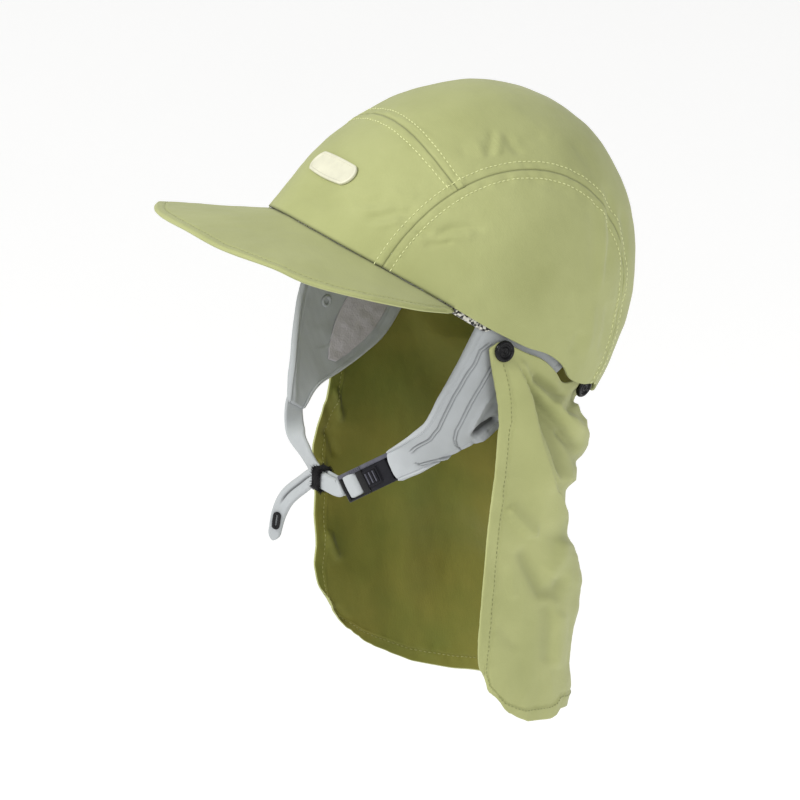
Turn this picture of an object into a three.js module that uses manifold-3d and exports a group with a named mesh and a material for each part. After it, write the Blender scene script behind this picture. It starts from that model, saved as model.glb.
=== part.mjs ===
// Legionnaire cap: a woven crown with a stiff peak, soft ear panels with a chin strap,
// and a neck flap that hangs from press snaps. Millimetres, +Z up, the front faces -Y.
// The origin is the middle of the head opening. Left and right are the wearer's, left at +X.
import * as THREE from "three";
import { mergeVertices } from "three/addons/utils/BufferGeometryUtils.js";
import Module from "manifold-3d";

const wasm = await Module();
wasm.setup();

const { Vector3 } = THREE;
const { clamp, degToRad, lerp, smoothstep } = THREE.MathUtils;

// Clearance between pieces that touch on the real cap
const GAP = 0.3;

// Head opening and crown, outside sizes
const HEAD_HALF_LENGTH = 102;
const HEAD_HALF_WIDTH = 84;
const CROWN_HEIGHT = 116;
const CROWN_LEAN = 6;
const CROWN_WALL = 1.6;
const SIDE_SEAM = 57.5;
const FRONT_SEAM_HEIGHT = 68;
const FRONT_SEAM_FALL = 17;
const RIM_SCALLOP = 4.4;
const DENT_DEPTH = 4;
const WEAR_PITCH = 34.3;

// Peak
const PEAK_LENGTH = 64;
const PEAK_WRAP_ANGLE = 68;
const PEAK_WALL = 2.8;

// Badge on the front panel
const BADGE_LENGTH = 38;
const BADGE_WIDTH = 13;
const BADGE_THICKNESS = 1.5;
const BADGE_HEIGHT = 31;
const BADGE_ASIDE = 3;

// Sweatband inside the rim
const SWEATBAND_WALL = 1.5;
const SWEATBAND_RISE = 26;
const SWEATBAND_PEEK = 2.5;
const SWEATBAND_NAPE_LIFT = 7.5;

// Ear panels
const EAR_DROP = 84;
const EAR_WALL = 2.4;
const EAR_RISE = 6;
const POCKET_WALL = 1.2;
const POCKET_SAG = 3;
const EYELET_RADIUS = 3.2;
const EYELET_HOLE = 1.3;
const EYELET_THICKNESS = 0.9;
const EYELET_ACROSS = 0.31;
const EYELET_ALONG = 0.39;

// Chin strap
const STRAP_WALL = 2.2;
const STRAP_WIDTH = 10;
const TAIL_WALL = 3.2;
const TAIL_WIDTH = 9.5;
const LOOP_WIDTH = 12;
const BUCKLE_WIDTH = 15;
const BUCKLE_THICKNESS = 6;
const SOCKET_LENGTH = 23;
const PRONG_LENGTH = 16;
const SLOT_LENGTH = 4;
const BUCKLE_RAIL = 1.8;
const LOOP_WALL = 1.6;
const BUCKLE_END = [8, -60, -95];
const KEEPER_PLACE = [-5, -62, -91];
const KEEPER_ALONG = [-0.97, -0.1, 0.05];
const BUCKLE_FACING = [0.82, -0.473, 0.322];
const KEEPER_LENGTH = 7;
const KEEPER_WALL = 1.4;
const TAIL_EYELET_LENGTH = 9;
const TAIL_EYELET_WIDTH = 3.4;
const TAIL_EYELET_THICKNESS = 0.8;
const TAIL_EYELET_SETBACK = 12;
const TAIL_REACH = 41;
const STRAP_SAG = 11;
const TAIL_FACING = [0.75, -0.65, 0.1];

// Neck flap
const FLAP_FLARE = 1;
const FLAP_DROP = 226;
const FLAP_HEM_BACK = -23;
const FLAP_BACK = 81;
const FLAP_WALL = 1.4;
const FLAP_ROUNDNESS = 2.5;
const FLAP_FOLD = 8;
const FLAP_SIDE_DROP = 6;

// Press snaps
const SNAP_RADIUS = 5.6;
const SNAP_THICKNESS = 2.6;

// Finishes
const GREEN_CLOTH = { color: 0xb0b584, roughness: 0.85, metalness: 0 };
const SHADE_CLOTH = { color: 0xa3a874, roughness: 0.85, metalness: 0 };
const GREY_STRETCH = { color: 0xb2b4b8, roughness: 0.8, metalness: 0 };
const GREY_MESH = { color: 0x8c888c, roughness: 0.9, metalness: 0 };
const DARK_MESH = { color: 0x6a6a68, roughness: 0.95, metalness: 0 };
const BLACK_PLASTIC = { color: 0x1a181c, roughness: 0.35, metalness: 0 };
const SLATE_PLASTIC = { color: 0x34333a, roughness: 0.45, metalness: 0 };
const CREAM_RUBBER = { color: 0xe3e1c8, roughness: 0.6, metalness: 0 };

// Rim height by its turn from the front in degrees, as shares of RIM_SCALLOP
const RIM_ROWS = [
  { turn: 0, height: -0.4 },
  { turn: 30, height: -0.5 },
  { turn: 55, height: -0.45 },
  { turn: 68, height: -0.5 },
  { turn: 80, height: -0.58 },
  { turn: 90, height: -0.46 },
  { turn: 96, height: -0.35 },
  { turn: 104, height: 0.18 },
  { turn: 112, height: -0.1 },
  { turn: 119, height: -1 },
  { turn: 128, height: -0.8 },
  { turn: 137, height: -0.05 },
  { turn: 144, height: -0.05 },
  { turn: 156, height: -0.8 },
  { turn: 166, height: -0.8 },
  { turn: 180, height: -0.05 },
];

// Dents of the crown: a direction on the dome, their reach in radians, and depth as a share of DENT_DEPTH
const DENT_ROWS = [
  { right: 0.05, back: -0.98, up: 0.12, reach: 0.2, depth: 0.6 },
  { right: -0.5, back: -0.86, up: 0.14, reach: 0.2, depth: 0.6 },
  { right: -0.15, back: -0.85, up: 0.5, reach: 0.45, depth: 1 },
  { right: 0.62, back: -0.35, up: 0.85, reach: 0.2, depth: 0.4 },
  { right: 0.3, back: -0.2, up: 0.93, reach: 0.16, depth: 0.35 },
  { right: 0.72, back: 0.62, up: 0.32, reach: 0.16, depth: 0.4 },
];

// Peak outline past the rim, as shares of PEAK_LENGTH, by its share of PEAK_WRAP_ANGLE
const PEAK_ROWS = [
  { wrap: 0, aside: 0, ahead: 0.844, drop: 0.475 },
  { wrap: 0.17, aside: 0.142, ahead: 0.832, drop: 0.475 },
  { wrap: 0.28, aside: 0.225, ahead: 0.822, drop: 0.455 },
  { wrap: 0.42, aside: 0.35, ahead: 0.75, drop: 0.4 },
  { wrap: 0.52, aside: 0.38, ahead: 0.678, drop: 0.384 },
  { wrap: 0.6, aside: 0.392, ahead: 0.591, drop: 0.345 },
  { wrap: 0.72, aside: 0.384, ahead: 0.486, drop: 0.267 },
  { wrap: 0.8, aside: 0.33, ahead: 0.39, drop: 0.21 },
  { wrap: 0.91, aside: 0.217, ahead: 0.233, drop: 0.12 },
  { wrap: 1, aside: 0.045, ahead: 0.075, drop: 0.03 },
];

// Front and rear edge of an ear panel: places front to back as shares of HEAD_HALF_LENGTH,
// drops as shares of EAR_DROP, reach sideways as shares of the rim's inside
const LEFT_EAR_ROWS = [
  { along: 0, front: -0.19, frontDrop: 0, frontReach: 1, rear: 0.45, rearDrop: 0, rearReach: 1 },
  { along: 0.22, front: -0.172, frontDrop: 0.2, frontReach: 0.985, rear: 0.373, rearDrop: 0.19, rearReach: 0.985 },
  { along: 0.42, front: -0.152, frontDrop: 0.4, frontReach: 0.955, rear: 0.325, rearDrop: 0.41, rearReach: 0.95 },
  { along: 0.62, front: -0.127, frontDrop: 0.59, frontReach: 0.905, rear: 0.235, rearDrop: 0.64, rearReach: 0.885 },
  { along: 0.78, front: -0.088, frontDrop: 0.74, frontReach: 0.83, rear: 0.167, rearDrop: 0.8, rearReach: 0.8 },
  { along: 0.9, front: -0.054, frontDrop: 0.84, frontReach: 0.7, rear: 0.122, rearDrop: 0.93, rearReach: 0.71 },
  { along: 1, front: -0.018, frontDrop: 0.92, frontReach: 0.54, rear: 0.09, rearDrop: 1.02, rearReach: 0.62 },
];
const RIGHT_EAR_ROWS = [
  { along: 0, front: -0.255, frontDrop: 0, frontReach: 1, rear: 0.45, rearDrop: 0, rearReach: 1 },
  { along: 0.22, front: -0.242, frontDrop: 0.22, frontReach: 0.985, rear: 0.36, rearDrop: 0.19, rearReach: 0.985 },
  { along: 0.42, front: -0.205, frontDrop: 0.45, frontReach: 0.955, rear: 0.33, rearDrop: 0.41, rearReach: 0.945 },
  { along: 0.6, front: -0.15, frontDrop: 0.66, frontReach: 0.885, rear: 0.25, rearDrop: 0.6, rearReach: 0.9 },
  { along: 0.76, front: -0.112, frontDrop: 0.8, frontReach: 0.82, rear: 0.15, rearDrop: 0.75, rearReach: 0.83 },
  { along: 0.88, front: -0.08, frontDrop: 0.9, frontReach: 0.785, rear: 0.07, rearDrop: 0.86, rearReach: 0.78 },
  { along: 1, front: -0.045, frontDrop: 1, frontReach: 0.75, rear: 0.045, rearDrop: 1, rearReach: 0.74 },
];

// Pocket sides across an ear panel, by the share of the panel's length
const POCKET_ROWS = [
  { along: 0.12, from: 0.56, to: 0.9 },
  { along: 0.25, from: 0.53, to: 0.9 },
  { along: 0.45, from: 0.49, to: 0.885 },
  { along: 0.6, from: 0.56, to: 0.85 },
  { along: 0.68, from: 0.66, to: 0.8 },
];

// Flap top edge by its turn from the front: how far it is tucked in, from 0 just inside the crown to 1
// behind a snap, and its height in snap radii
const FLAP_TOP_ROWS = [
  { turn: 84.5, tuck: 0, height: -1.9 },
  { turn: 86, tuck: 0, height: -1 },
  { turn: 88, tuck: 0, height: -0.66 },
  { turn: 91, tuck: 0, height: -0.6 },
  { turn: 104, tuck: 0, height: -0.7 },
  { turn: 117, tuck: 0, height: -0.85 },
  { turn: 127, tuck: 0.6, height: -0.2 },
  { turn: 136, tuck: 1, height: 0.45 },
  { turn: 143, tuck: 1, height: 0.45 },
  { turn: 158, tuck: 0.95, height: -0.6 },
  { turn: 172, tuck: 1, height: 0.4 },
  { turn: 180, tuck: 1, height: 0.45 },
];

// Flap sections by the share of the drop: half width, hems and back places as shares of their sizes
const FLAP_ROWS = [
  { drop: 0, width: 1, leftHem: 0.7, rightHem: 0.7, back: 1 },
  { drop: 0.07, width: 1, leftHem: 0.69, rightHem: 0.72, back: 0.96 },
  { drop: 0.17, width: 1, leftHem: 0.51, rightHem: 0.68, back: 0.88 },
  { drop: 0.27, width: 1, leftHem: 0.48, rightHem: 0.76, back: 0.8 },
  { drop: 0.4, width: 1, leftHem: 0.58, rightHem: 0.84, back: 0.75 },
  { drop: 0.5, width: 1, leftHem: 0.68, rightHem: 0.84, back: 0.74 },
  { drop: 0.6, width: 1, leftHem: 0.75, rightHem: 0.78, back: 0.81 },
  { drop: 0.68, width: 1, leftHem: 0.81, rightHem: 0.8, back: 0.875 },
  { drop: 0.76, width: 0.99, leftHem: 0.87, rightHem: 0.85, back: 0.85 },
  { drop: 0.86, width: 0.98, leftHem: 1, rightHem: 0.93, back: 0.8 },
  { drop: 0.94, width: 0.97, leftHem: 0.92, rightHem: 0.88, back: 0.79 },
  { drop: 1, width: 0.96, leftHem: 0.62, rightHem: 0.62, back: 0.75 },
];

// Flap lower edge from the hem to the middle of the back, as shares of FLAP_DROP
const FLAP_BOTTOM_ROWS = [
  { round: 0, drop: 0.855 },
  { round: 0.05, drop: 0.9 },
  { round: 0.14, drop: 0.942 },
  { round: 0.29, drop: 0.975 },
  { round: 0.46, drop: 0.99 },
  { round: 0.6, drop: 1 },
  { round: 1, drop: 1 },
];

// Folds of the flap: side, start and end as shares round and down, width as a share of the round,
// height as a share of FLAP_FOLD
const FLAP_FOLD_ROWS = [
  { side: 1, from: 0.08, fromDown: 0.02, to: 0.26, toDown: 0.75, width: 0.05, height: 0.5 },
  { side: 1, from: 0.14, fromDown: 0.02, to: 0.38, toDown: 0.7, width: 0.06, height: -0.9 },
  { side: 1, from: 0.18, fromDown: 0.04, to: 0.56, toDown: 0.36, width: 0.06, height: 0.7 },
  { side: 1, from: 0.5, fromDown: 0.02, to: 0.5, toDown: 0.5, width: 0.08, height: -0.7 },
  { side: 1, from: 0.58, fromDown: 0.4, to: 0.66, toDown: 1, width: 0.09, height: -0.5 },
  { side: 1, from: 0.2, fromDown: 0.6, to: 0.34, toDown: 0.95, width: 0.07, height: -0.5 },
  { side: -1, from: 0.14, fromDown: 0.02, to: 0.3, toDown: 0.8, width: 0.06, height: 0.7 },
  { side: -1, from: 0.34, fromDown: 0.1, to: 0.5, toDown: 0.9, width: 0.08, height: -0.7 },
  { side: -1, from: 0.6, fromDown: 0.14, to: 0.66, toDown: 1, width: 0.08, height: 0.8 },
  { side: -1, from: 0.84, fromDown: 0.1, to: 0.9, toDown: 1, width: 0.08, height: -0.6 },
];

// Snaps under the crown's rim, by their turn from the front, with their height in snap radii
const BACK_SNAP_ROWS = [
  { name: "snap_left_back", turn: 140, side: 1, height: -0.7 },
  { name: "snap_back", turn: 180, side: 1, height: -0.55 },
  { name: "snap_right_back", turn: 140, side: -1, height: -0.7 },
];

// Snaps on the outer face of the flap, by their places round and down it
const FRONT_SNAP_ROWS = [
  { name: "snap_left_front", side: 1, round: 0.034, down: 0.02 },
  { name: "snap_right_front", side: -1, round: 0.034, down: 0.02 },
];

// A value of a table at a place between its rows, on a smooth curve through them
function readTable(rows, key, column, place) {
  const last = rows.length - 1;
  let row = 0;
  while (row < last - 1 && place > rows[row + 1][key]) {
    row += 1;
  }
  const slopeAt = (index) => {
    const before = rows[Math.max(index - 1, 0)];
    const after = rows[Math.min(index + 1, last)];
    return (after[column] - before[column]) / (after[key] - before[key]);
  };
  const start = rows[row];
  const end = rows[row + 1];
  const step = end[key] - start[key];
  const t = clamp((place - start[key]) / step, 0, 1);
  const bend = t * t * (3 - 2 * t);
  const swing = slopeAt(row) * t * (1 - t) ** 2 - slopeAt(row + 1) * t * t * (1 - t);
  return lerp(start[column], end[column], bend) + step * swing;
}

// A geometry from loose triangles, with shared corners joined and its faces pointing out
function closedGeometry(vertices, triangles) {
  const loose = new THREE.BufferGeometry();
  loose.setAttribute("position", new THREE.Float32BufferAttribute(vertices, 3));
  loose.setIndex(triangles);
  const merged = mergeVertices(loose, 1e-3);
  const position = merged.getAttribute("position");
  const corner = (index) => new Vector3().fromBufferAttribute(position, index);
  const kept = [];
  let volume = 0;
  for (let i = 0; i < merged.index.count; i += 3) {
    const [a, b, c] = [0, 1, 2].map((step) => merged.index.getX(i + step));
    if (a !== b && b !== c && c !== a) {
      kept.push(a, b, c);
      volume += corner(a).dot(corner(b).cross(corner(c)));
    }
  }
  merged.setIndex(volume < 0 ? kept.reverse() : kept);
  merged.computeVertexNormals();
  return merged;
}

// A closed wall between two faces, each a point for u across and v down from 0 to 1
function wallGeometry(outer, inner, across, down, ring = false) {
  const columns = ring ? across : across + 1;
  const vertices = [];
  for (const face of [outer, inner]) {
    for (let j = 0; j <= down; j += 1) {
      for (let i = 0; i < columns; i += 1) {
        vertices.push(...face(i / across, j / down));
      }
    }
  }
  const back = columns * (down + 1);
  const at = (i, j) => j * columns + (i % columns);
  const triangles = [];
  const quad = (a, b, c, d) => triangles.push(a, b, c, a, c, d);
  for (let i = 0; i < across; i += 1) {
    for (let j = 0; j < down; j += 1) {
      quad(at(i, j), at(i + 1, j), at(i + 1, j + 1), at(i, j + 1));
      quad(back + at(i, j), back + at(i, j + 1), back + at(i + 1, j + 1), back + at(i + 1, j));
    }
    quad(at(i, 0), back + at(i, 0), back + at(i + 1, 0), at(i + 1, 0));
    quad(at(i, down), at(i + 1, down), back + at(i + 1, down), back + at(i, down));
  }
  for (let j = 0; j < down && !ring; j += 1) {
    quad(at(0, j), at(0, j + 1), back + at(0, j + 1), back + at(0, j));
    quad(at(across, j), back + at(across, j), back + at(across, j + 1), at(across, j + 1));
  }
  return closedGeometry(vertices, triangles);
}

// The direction out of a face, from its slopes across and down
function facing(face, u, v) {
  const reach = 0.01;
  const across = face(clamp(u, 0, 1 - reach) + reach, v).sub(face(clamp(u, 0, 1 - reach), v));
  const down = face(u, clamp(v, 0, 1 - reach) + reach).sub(face(u, clamp(v, 0, 1 - reach)));
  return across.cross(down).normalize();
}

// A sheet of cloth under a face, with inward 1 or -1 for the side that its wall lies on
function sheetGeometry(face, wall, inward, across, down) {
  const inner = (u, v) => face(u, v).addScaledVector(facing(face, u, v), wall * inward);
  return wallGeometry(face, inner, across, down);
}

function solidOf(geometry) {
  const vertProperties = new Float32Array(geometry.getAttribute("position").array);
  const triVerts = new Uint32Array(geometry.index.array);
  return new wasm.Manifold(new wasm.Mesh({ numProp: 3, vertProperties, triVerts }));
}

function geometryOf(solid) {
  const mesh = solid.getMesh();
  return closedGeometry([...mesh.vertProperties], [...mesh.triVerts]);
}

function cutAway(geometry, cutter) {
  return geometryOf(solidOf(geometry).subtract(solidOf(cutter)));
}

function piece(name, geometry, finish) {
  const mesh = new THREE.Mesh(geometry, new THREE.MeshStandardMaterial(finish));
  mesh.name = name;
  return mesh;
}

// A direction of unit length from the middle of the dome to the rim, by the turn from the front
function rimDirection(turn, side, up = 0) {
  const level = Math.sqrt(1 - up * up);
  const angle = degToRad(turn);
  return new Vector3(side * Math.sin(angle) * level, -Math.cos(angle) * level, up);
}

function turnOf(direction) {
  return THREE.MathUtils.radToDeg(Math.atan2(Math.abs(direction.x), -direction.y));
}

function rimHeight(turn) {
  return RIM_SCALLOP * readTable(RIM_ROWS, "turn", "height", turn);
}

function domeFacing(direction) {
  const { x, y, z } = direction;
  const lean = (CROWN_LEAN * y) / HEAD_HALF_LENGTH;
  return new Vector3(x / HEAD_HALF_WIDTH, y / HEAD_HALF_LENGTH, (z - lean) / CROWN_HEIGHT).normalize();
}

function dentDepth(direction) {
  let depth = 0;
  for (const row of DENT_ROWS) {
    const middle = new Vector3(row.right, row.back, row.up).normalize();
    const away = middle.angleTo(direction) / row.reach;
    depth += row.depth * Math.exp(-away * away);
  }
  return DENT_DEPTH * depth;
}

// A place on the crown, at a depth under its outer face
function domePoint(direction, depth) {
  const { x, y, z } = direction;
  const place = new Vector3(HEAD_HALF_WIDTH * x, HEAD_HALF_LENGTH * y + CROWN_LEAN * z, CROWN_HEIGHT * z);
  place.z += rimHeight(turnOf(direction)) * (1 - Math.abs(z)) ** 4;
  return place.addScaledVector(domeFacing(direction), -depth - dentDepth(direction));
}

function crownWall(directionAt, across, down) {
  const outer = (u, v) => domePoint(directionAt(u, v), 0);
  const inner = (u, v) => domePoint(directionAt(u, v), CROWN_WALL);
  return wallGeometry(outer, inner, across, down);
}

const SEAM_SHARE = SIDE_SEAM / HEAD_HALF_WIDTH;
const SEAM_GAP = GAP / 2 / HEAD_HALF_WIDTH;

// The front seam's angle up the dome at a share of the half width
function frontSeamAngle(share) {
  const height = FRONT_SEAM_HEIGHT - FRONT_SEAM_FALL * (share / SEAM_SHARE) ** 2;
  return Math.asin(height / CROWN_HEIGHT / Math.sqrt(1 - share * share));
}

function archDirection(share, angle) {
  const level = Math.sqrt(1 - share * share);
  return new Vector3(share, -level * Math.cos(angle), level * Math.sin(angle));
}

function frontPanel() {
  const edge = SEAM_SHARE - SEAM_GAP;
  const directionAt = (u, v) => {
    const share = lerp(-edge, edge, u);
    return archDirection(share, lerp(0, frontSeamAngle(share) - SEAM_GAP, v));
  };
  return piece("crown_front_panel", crownWall(directionAt, 14, 6), GREEN_CLOTH);
}

function topPanel() {
  const edge = SEAM_SHARE - SEAM_GAP;
  const directionAt = (u, v) => {
    const share = lerp(-edge, edge, u);
    return archDirection(share, lerp(frontSeamAngle(share) + SEAM_GAP, Math.PI, v));
  };
  return piece("crown_top_panel", crownWall(directionAt, 12, 16), GREEN_CLOTH);
}

function sidePanel(name, side) {
  const edge = SEAM_SHARE + SEAM_GAP;
  const endAngle = Math.acos(edge);
  const directionAt = (u, v) => {
    const seam = archDirection(edge, lerp(0, Math.PI, u));
    const turn = lerp(-endAngle, endAngle, u);
    const rim = new Vector3(Math.cos(turn), Math.sin(turn), 0);
    const direction = seam.lerp(rim, v).normalize();
    return direction.setX(side * direction.x);
  };
  return piece(name, crownWall(directionAt, 20, 6), GREEN_CLOTH);
}

// The peak's upper face: across from right to left, out from the rim to its edge
function peakPoint(across, out) {
  const wrap = Math.abs(across);
  const side = Math.sign(across);
  const turn = wrap * PEAK_WRAP_ANGLE;
  const place = domePoint(rimDirection(turn, side), CROWN_WALL);
  const reach = PEAK_LENGTH * out;
  place.x += side * reach * readTable(PEAK_ROWS, "wrap", "aside", wrap);
  place.y -= reach * readTable(PEAK_ROWS, "wrap", "ahead", wrap);
  place.z -= reach * readTable(PEAK_ROWS, "wrap", "drop", wrap);
  place.z -= GAP;
  return place;
}

function peak() {
  const upper = (u, v) => peakPoint(2 * u - 1, v);
  const lower = (u, v) => upper(u, v).add(new Vector3(0, 0, -PEAK_WALL));
  return piece("peak", wallGeometry(upper, lower, 28, 4), GREEN_CLOTH);
}

// A rounded bar on the front panel, half a circle at each end
function frontBadge() {
  const round = BADGE_WIDTH / 2;
  const straight = BADGE_LENGTH / 2 - round;
  const directionAt = (u, v) => {
    const angle = Math.PI * (u - 0.5);
    const across = (straight + round) * Math.sin(angle);
    const beyond = Math.max(Math.abs(across) - straight, 0);
    const tall = Math.sqrt(Math.max(round * round - beyond * beyond, 0));
    const up = (BADGE_HEIGHT + lerp(-tall, tall, v)) / CROWN_HEIGHT;
    const share = (across + BADGE_ASIDE) / HEAD_HALF_WIDTH;
    return new Vector3(share, -Math.sqrt(1 - share * share - up * up), up);
  };
  const outer = (u, v) => domePoint(directionAt(u, v), -GAP - BADGE_THICKNESS);
  const inner = (u, v) => domePoint(directionAt(u, v), -GAP);
  return piece("front_badge", wallGeometry(outer, inner, 14, 2), CREAM_RUBBER);
}

const SWEATBAND_DEPTH = CROWN_WALL + 2 * GAP;
const EAR_DEPTH = SWEATBAND_DEPTH + SWEATBAND_WALL + 2 * GAP;

// A place round the rim at a height over it
function bandPoint(turn, side, height, depth) {
  const up = height / CROWN_HEIGHT;
  return domePoint(rimDirection(turn, side, up), depth);
}

function sweatband() {
  const face = (depth) => (u, v) => {
    const round = 2 * u - 1;
    const turn = 180 * Math.abs(round);
    const lift = SWEATBAND_NAPE_LIFT * smoothstep(turn, 96, 116);
    return bandPoint(turn, Math.sign(round) || 1, lerp(lift - SWEATBAND_PEEK, SWEATBAND_RISE, v), depth);
  };
  const outer = face(SWEATBAND_DEPTH);
  const inner = face(SWEATBAND_DEPTH + SWEATBAND_WALL);
  return piece("sweatband", wallGeometry(outer, inner, 48, 2, true), DARK_MESH);
}

// The outer face of an ear panel: across from its front edge to its rear edge, down from the rim
function earPoint(rows, side, across, along) {
  const read = (column) => readTable(rows, "along", column, along);
  const back = HEAD_HALF_LENGTH * lerp(read("front"), read("rear"), across);
  const height = EAR_RISE - (EAR_DROP + EAR_RISE) * lerp(read("frontDrop"), read("rearDrop"), across);
  const reach = lerp(read("frontReach"), read("rearReach"), across);
  const lengthwise = back / (HEAD_HALF_LENGTH - EAR_DEPTH);
  const widthwise = (HEAD_HALF_WIDTH - EAR_DEPTH) * Math.sqrt(1 - lengthwise * lengthwise);
  return new Vector3(side * widthwise * reach, back, height);
}

// The part of an ear panel that its pocket fills, grown by a clearance on each side
function pocketPlace(rows, u, v, growth) {
  const start = POCKET_ROWS[0].along;
  const end = POCKET_ROWS[POCKET_ROWS.length - 1].along;
  const reach = growth / (EAR_DROP + EAR_RISE);
  const along = lerp(start - reach, end + reach, v);
  const from = readTable(POCKET_ROWS, "along", "from", along);
  const to = readTable(POCKET_ROWS, "along", "to", along);
  const width = earPoint(rows, 1, 0, along).distanceTo(earPoint(rows, 1, 1, along));
  return { across: lerp(from - growth / width, to + growth / width, u), along };
}

function earFace(rows, side, depth) {
  return (u, v) => {
    const face = (a, b) => earPoint(rows, side, a, b);
    return face(u, v).addScaledVector(facing(face, u, v), side * depth);
  };
}

function pocketFace(rows, side, growth, depthAt) {
  return (u, v) => {
    const { across, along } = pocketPlace(rows, u, v, growth);
    return earFace(rows, side, depthAt(u, v))(across, along);
  };
}

function earPanel(name, rows, side) {
  const outer = earFace(rows, side, 0);
  const inner = earFace(rows, side, EAR_WALL);
  const panel = wallGeometry(outer, inner, 8, 12);
  const clear = 2 * EAR_WALL;
  const above = pocketFace(rows, side, GAP, () => -clear);
  const below = pocketFace(rows, side, GAP, () => EAR_WALL + clear);
  return piece(name, cutAway(panel, wallGeometry(above, below, 5, 7)), GREY_STRETCH);
}

function earPocket(name, rows, side) {
  const start = (EAR_WALL - POCKET_WALL) / 2;
  const sag = (u, v) => start + POCKET_SAG * Math.sin(Math.PI * u) * Math.sin(Math.PI * v);
  const outer = pocketFace(rows, side, 0, sag);
  const inner = pocketFace(rows, side, 0, (u, v) => sag(u, v) + POCKET_WALL);
  return piece(name, wallGeometry(outer, inner, 5, 7), GREY_MESH);
}

// Turns a mesh so that its own +Z points along a direction, and places it
function seat(mesh, place, direction) {
  mesh.position.copy(place);
  mesh.quaternion.setFromUnitVectors(new Vector3(0, 0, 1), direction.clone().normalize());
  return mesh;
}

// A flat ring about +Z from 0 to its thickness
function ringGeometry(hole, radius, thickness, sides) {
  const profile = [
    new THREE.Vector2(hole, 0),
    new THREE.Vector2(radius, 0),
    new THREE.Vector2(radius, thickness * 0.5),
    new THREE.Vector2(radius * 0.9, thickness),
    new THREE.Vector2(hole, thickness),
    new THREE.Vector2(hole, 0),
  ];
  return latheGeometry(profile, sides);
}

// A turned shape about +Z, closed and merged
function latheGeometry(profile, sides) {
  const turned = new THREE.LatheGeometry(profile, sides);
  turned.rotateX(Math.PI / 2);
  return closedGeometry([...turned.getAttribute("position").array], [...turned.index.array]);
}

function earEyelet(name, rows, side) {
  const across = EYELET_ACROSS;
  const along = EYELET_ALONG;
  const face = (u, v) => earPoint(rows, side, u, v);
  const inward = facing(face, across, along).multiplyScalar(side);
  const place = face(across, along).addScaledVector(inward, EAR_WALL + GAP);
  const ring = ringGeometry(EYELET_HOLE, EYELET_RADIUS, EYELET_THICKNESS, 10);
  return seat(piece(name, ring, GREY_MESH), place, inward);
}

// How deep the flap's top edge lies under the crown's outer face
function flapTopDepth(turn) {
  const behindSnap = SNAP_THICKNESS + 4 * GAP;
  return CROWN_WALL + GAP + behindSnap * readTable(FLAP_TOP_ROWS, "turn", "tuck", turn);
}

function pressSnap(name) {
  const profile = [
    [0, 0],
    [0.92, 0],
    [1, 0.25],
    [1, 0.6],
    [0.86, 1],
    [0.66, 0.95],
    [0.58, 0.6],
    [0.3, 0.62],
    [0.2, 0.85],
    [0, 0.88],
  ].map(([radius, rise]) => new THREE.Vector2(SNAP_RADIUS * radius, SNAP_THICKNESS * rise));
  return piece(name, latheGeometry(profile, 12), BLACK_PLASTIC);
}

function backSnap({ name, turn, side, height }) {
  const direction = domeFacing(rimDirection(turn, side));
  const place = bandPoint(turn, side, height * SNAP_RADIUS, flapTopDepth(turn) - 3 * GAP);
  return seat(pressSnap(name), place, direction);
}

// A point of the tilted cap in the frame of the upright head
function worn(point) {
  return point.clone().applyAxisAngle(new Vector3(1, 0, 0), -degToRad(WEAR_PITCH));
}

// The height of the folds at a place of the flap
function foldHeight(side, round, down) {
  let height = 0;
  for (const row of FLAP_FOLD_ROWS) {
    if (row.side === side) {
      const share = clamp((down - row.fromDown) / (row.toDown - row.fromDown), 0, 1);
      const ends = smoothstep(down, row.fromDown, row.fromDown + 0.12);
      const fade = 1 - smoothstep(down, row.toDown - 0.1, row.toDown + 0.15);
      const away = (round - lerp(row.from, row.to, share)) / row.width;
      height += row.height * ends * fade * Math.exp(-away * away);
    }
  }
  return FLAP_FOLD * height * smoothstep(round, 0.03, 0.12);
}

// The outer face of the flap: round from its left hem over the back to its right hem, and down
function flapPoint(u, v) {
  const side = u < 0.5 ? 1 : -1;
  const round = 1 - Math.abs(2 * u - 1);
  const firstTurn = FLAP_TOP_ROWS[0].turn;
  const turn = lerp(firstTurn, 180, round);
  const height = SNAP_RADIUS * readTable(FLAP_TOP_ROWS, "turn", "height", turn);
  const top = worn(bandPoint(turn, side, height, flapTopDepth(turn)));
  const sideDrop = side * FLAP_SIDE_DROP * Math.sin(Math.PI * Math.sqrt(round));
  const bottom = sideDrop - FLAP_DROP * readTable(FLAP_BOTTOM_ROWS, "round", "drop", round);
  const z = lerp(top.z, bottom, v);
  const read = (column) => readTable(FLAP_ROWS, "drop", column, v);
  const angle = Math.PI / 2 * round;
  const power = 2 / FLAP_ROUNDNESS;
  const halfWidth = (HEAD_HALF_WIDTH + FLAP_FLARE) * read("width");
  const hem = FLAP_HEM_BACK * read(side > 0 ? "leftHem" : "rightHem");
  const depthBack = FLAP_BACK * read("back") - hem;
  const x = side * halfWidth * Math.cos(angle) ** power;
  const y = hem + depthBack * Math.sin(angle) ** power;
  const hung = new Vector3(x, y, z);
  const outward = new Vector3(x / halfWidth, (y - hem) / depthBack, 0).normalize();
  hung.addScaledVector(outward, foldHeight(side, round, v));
  const tuck = readTable(FLAP_TOP_ROWS, "turn", "tuck", turn);
  const behindSnap = Math.min(top.z - z, 2 * SNAP_RADIUS) * tuck;
  top.y -= behindSnap * Math.tan(degToRad(WEAR_PITCH));
  return top.lerp(hung, smoothstep(v, 0.08 * tuck, 0.22)).setZ(z);
}

function frontSnap({ name, side, round, down }) {
  const across = 0.5 - (side * (1 - round)) / 2;
  const outward = facing(flapPoint, across, down).negate();
  const place = flapPoint(across, down).addScaledVector(outward, 2 * GAP);
  return seat(pressSnap(name), place, outward);
}

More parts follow.
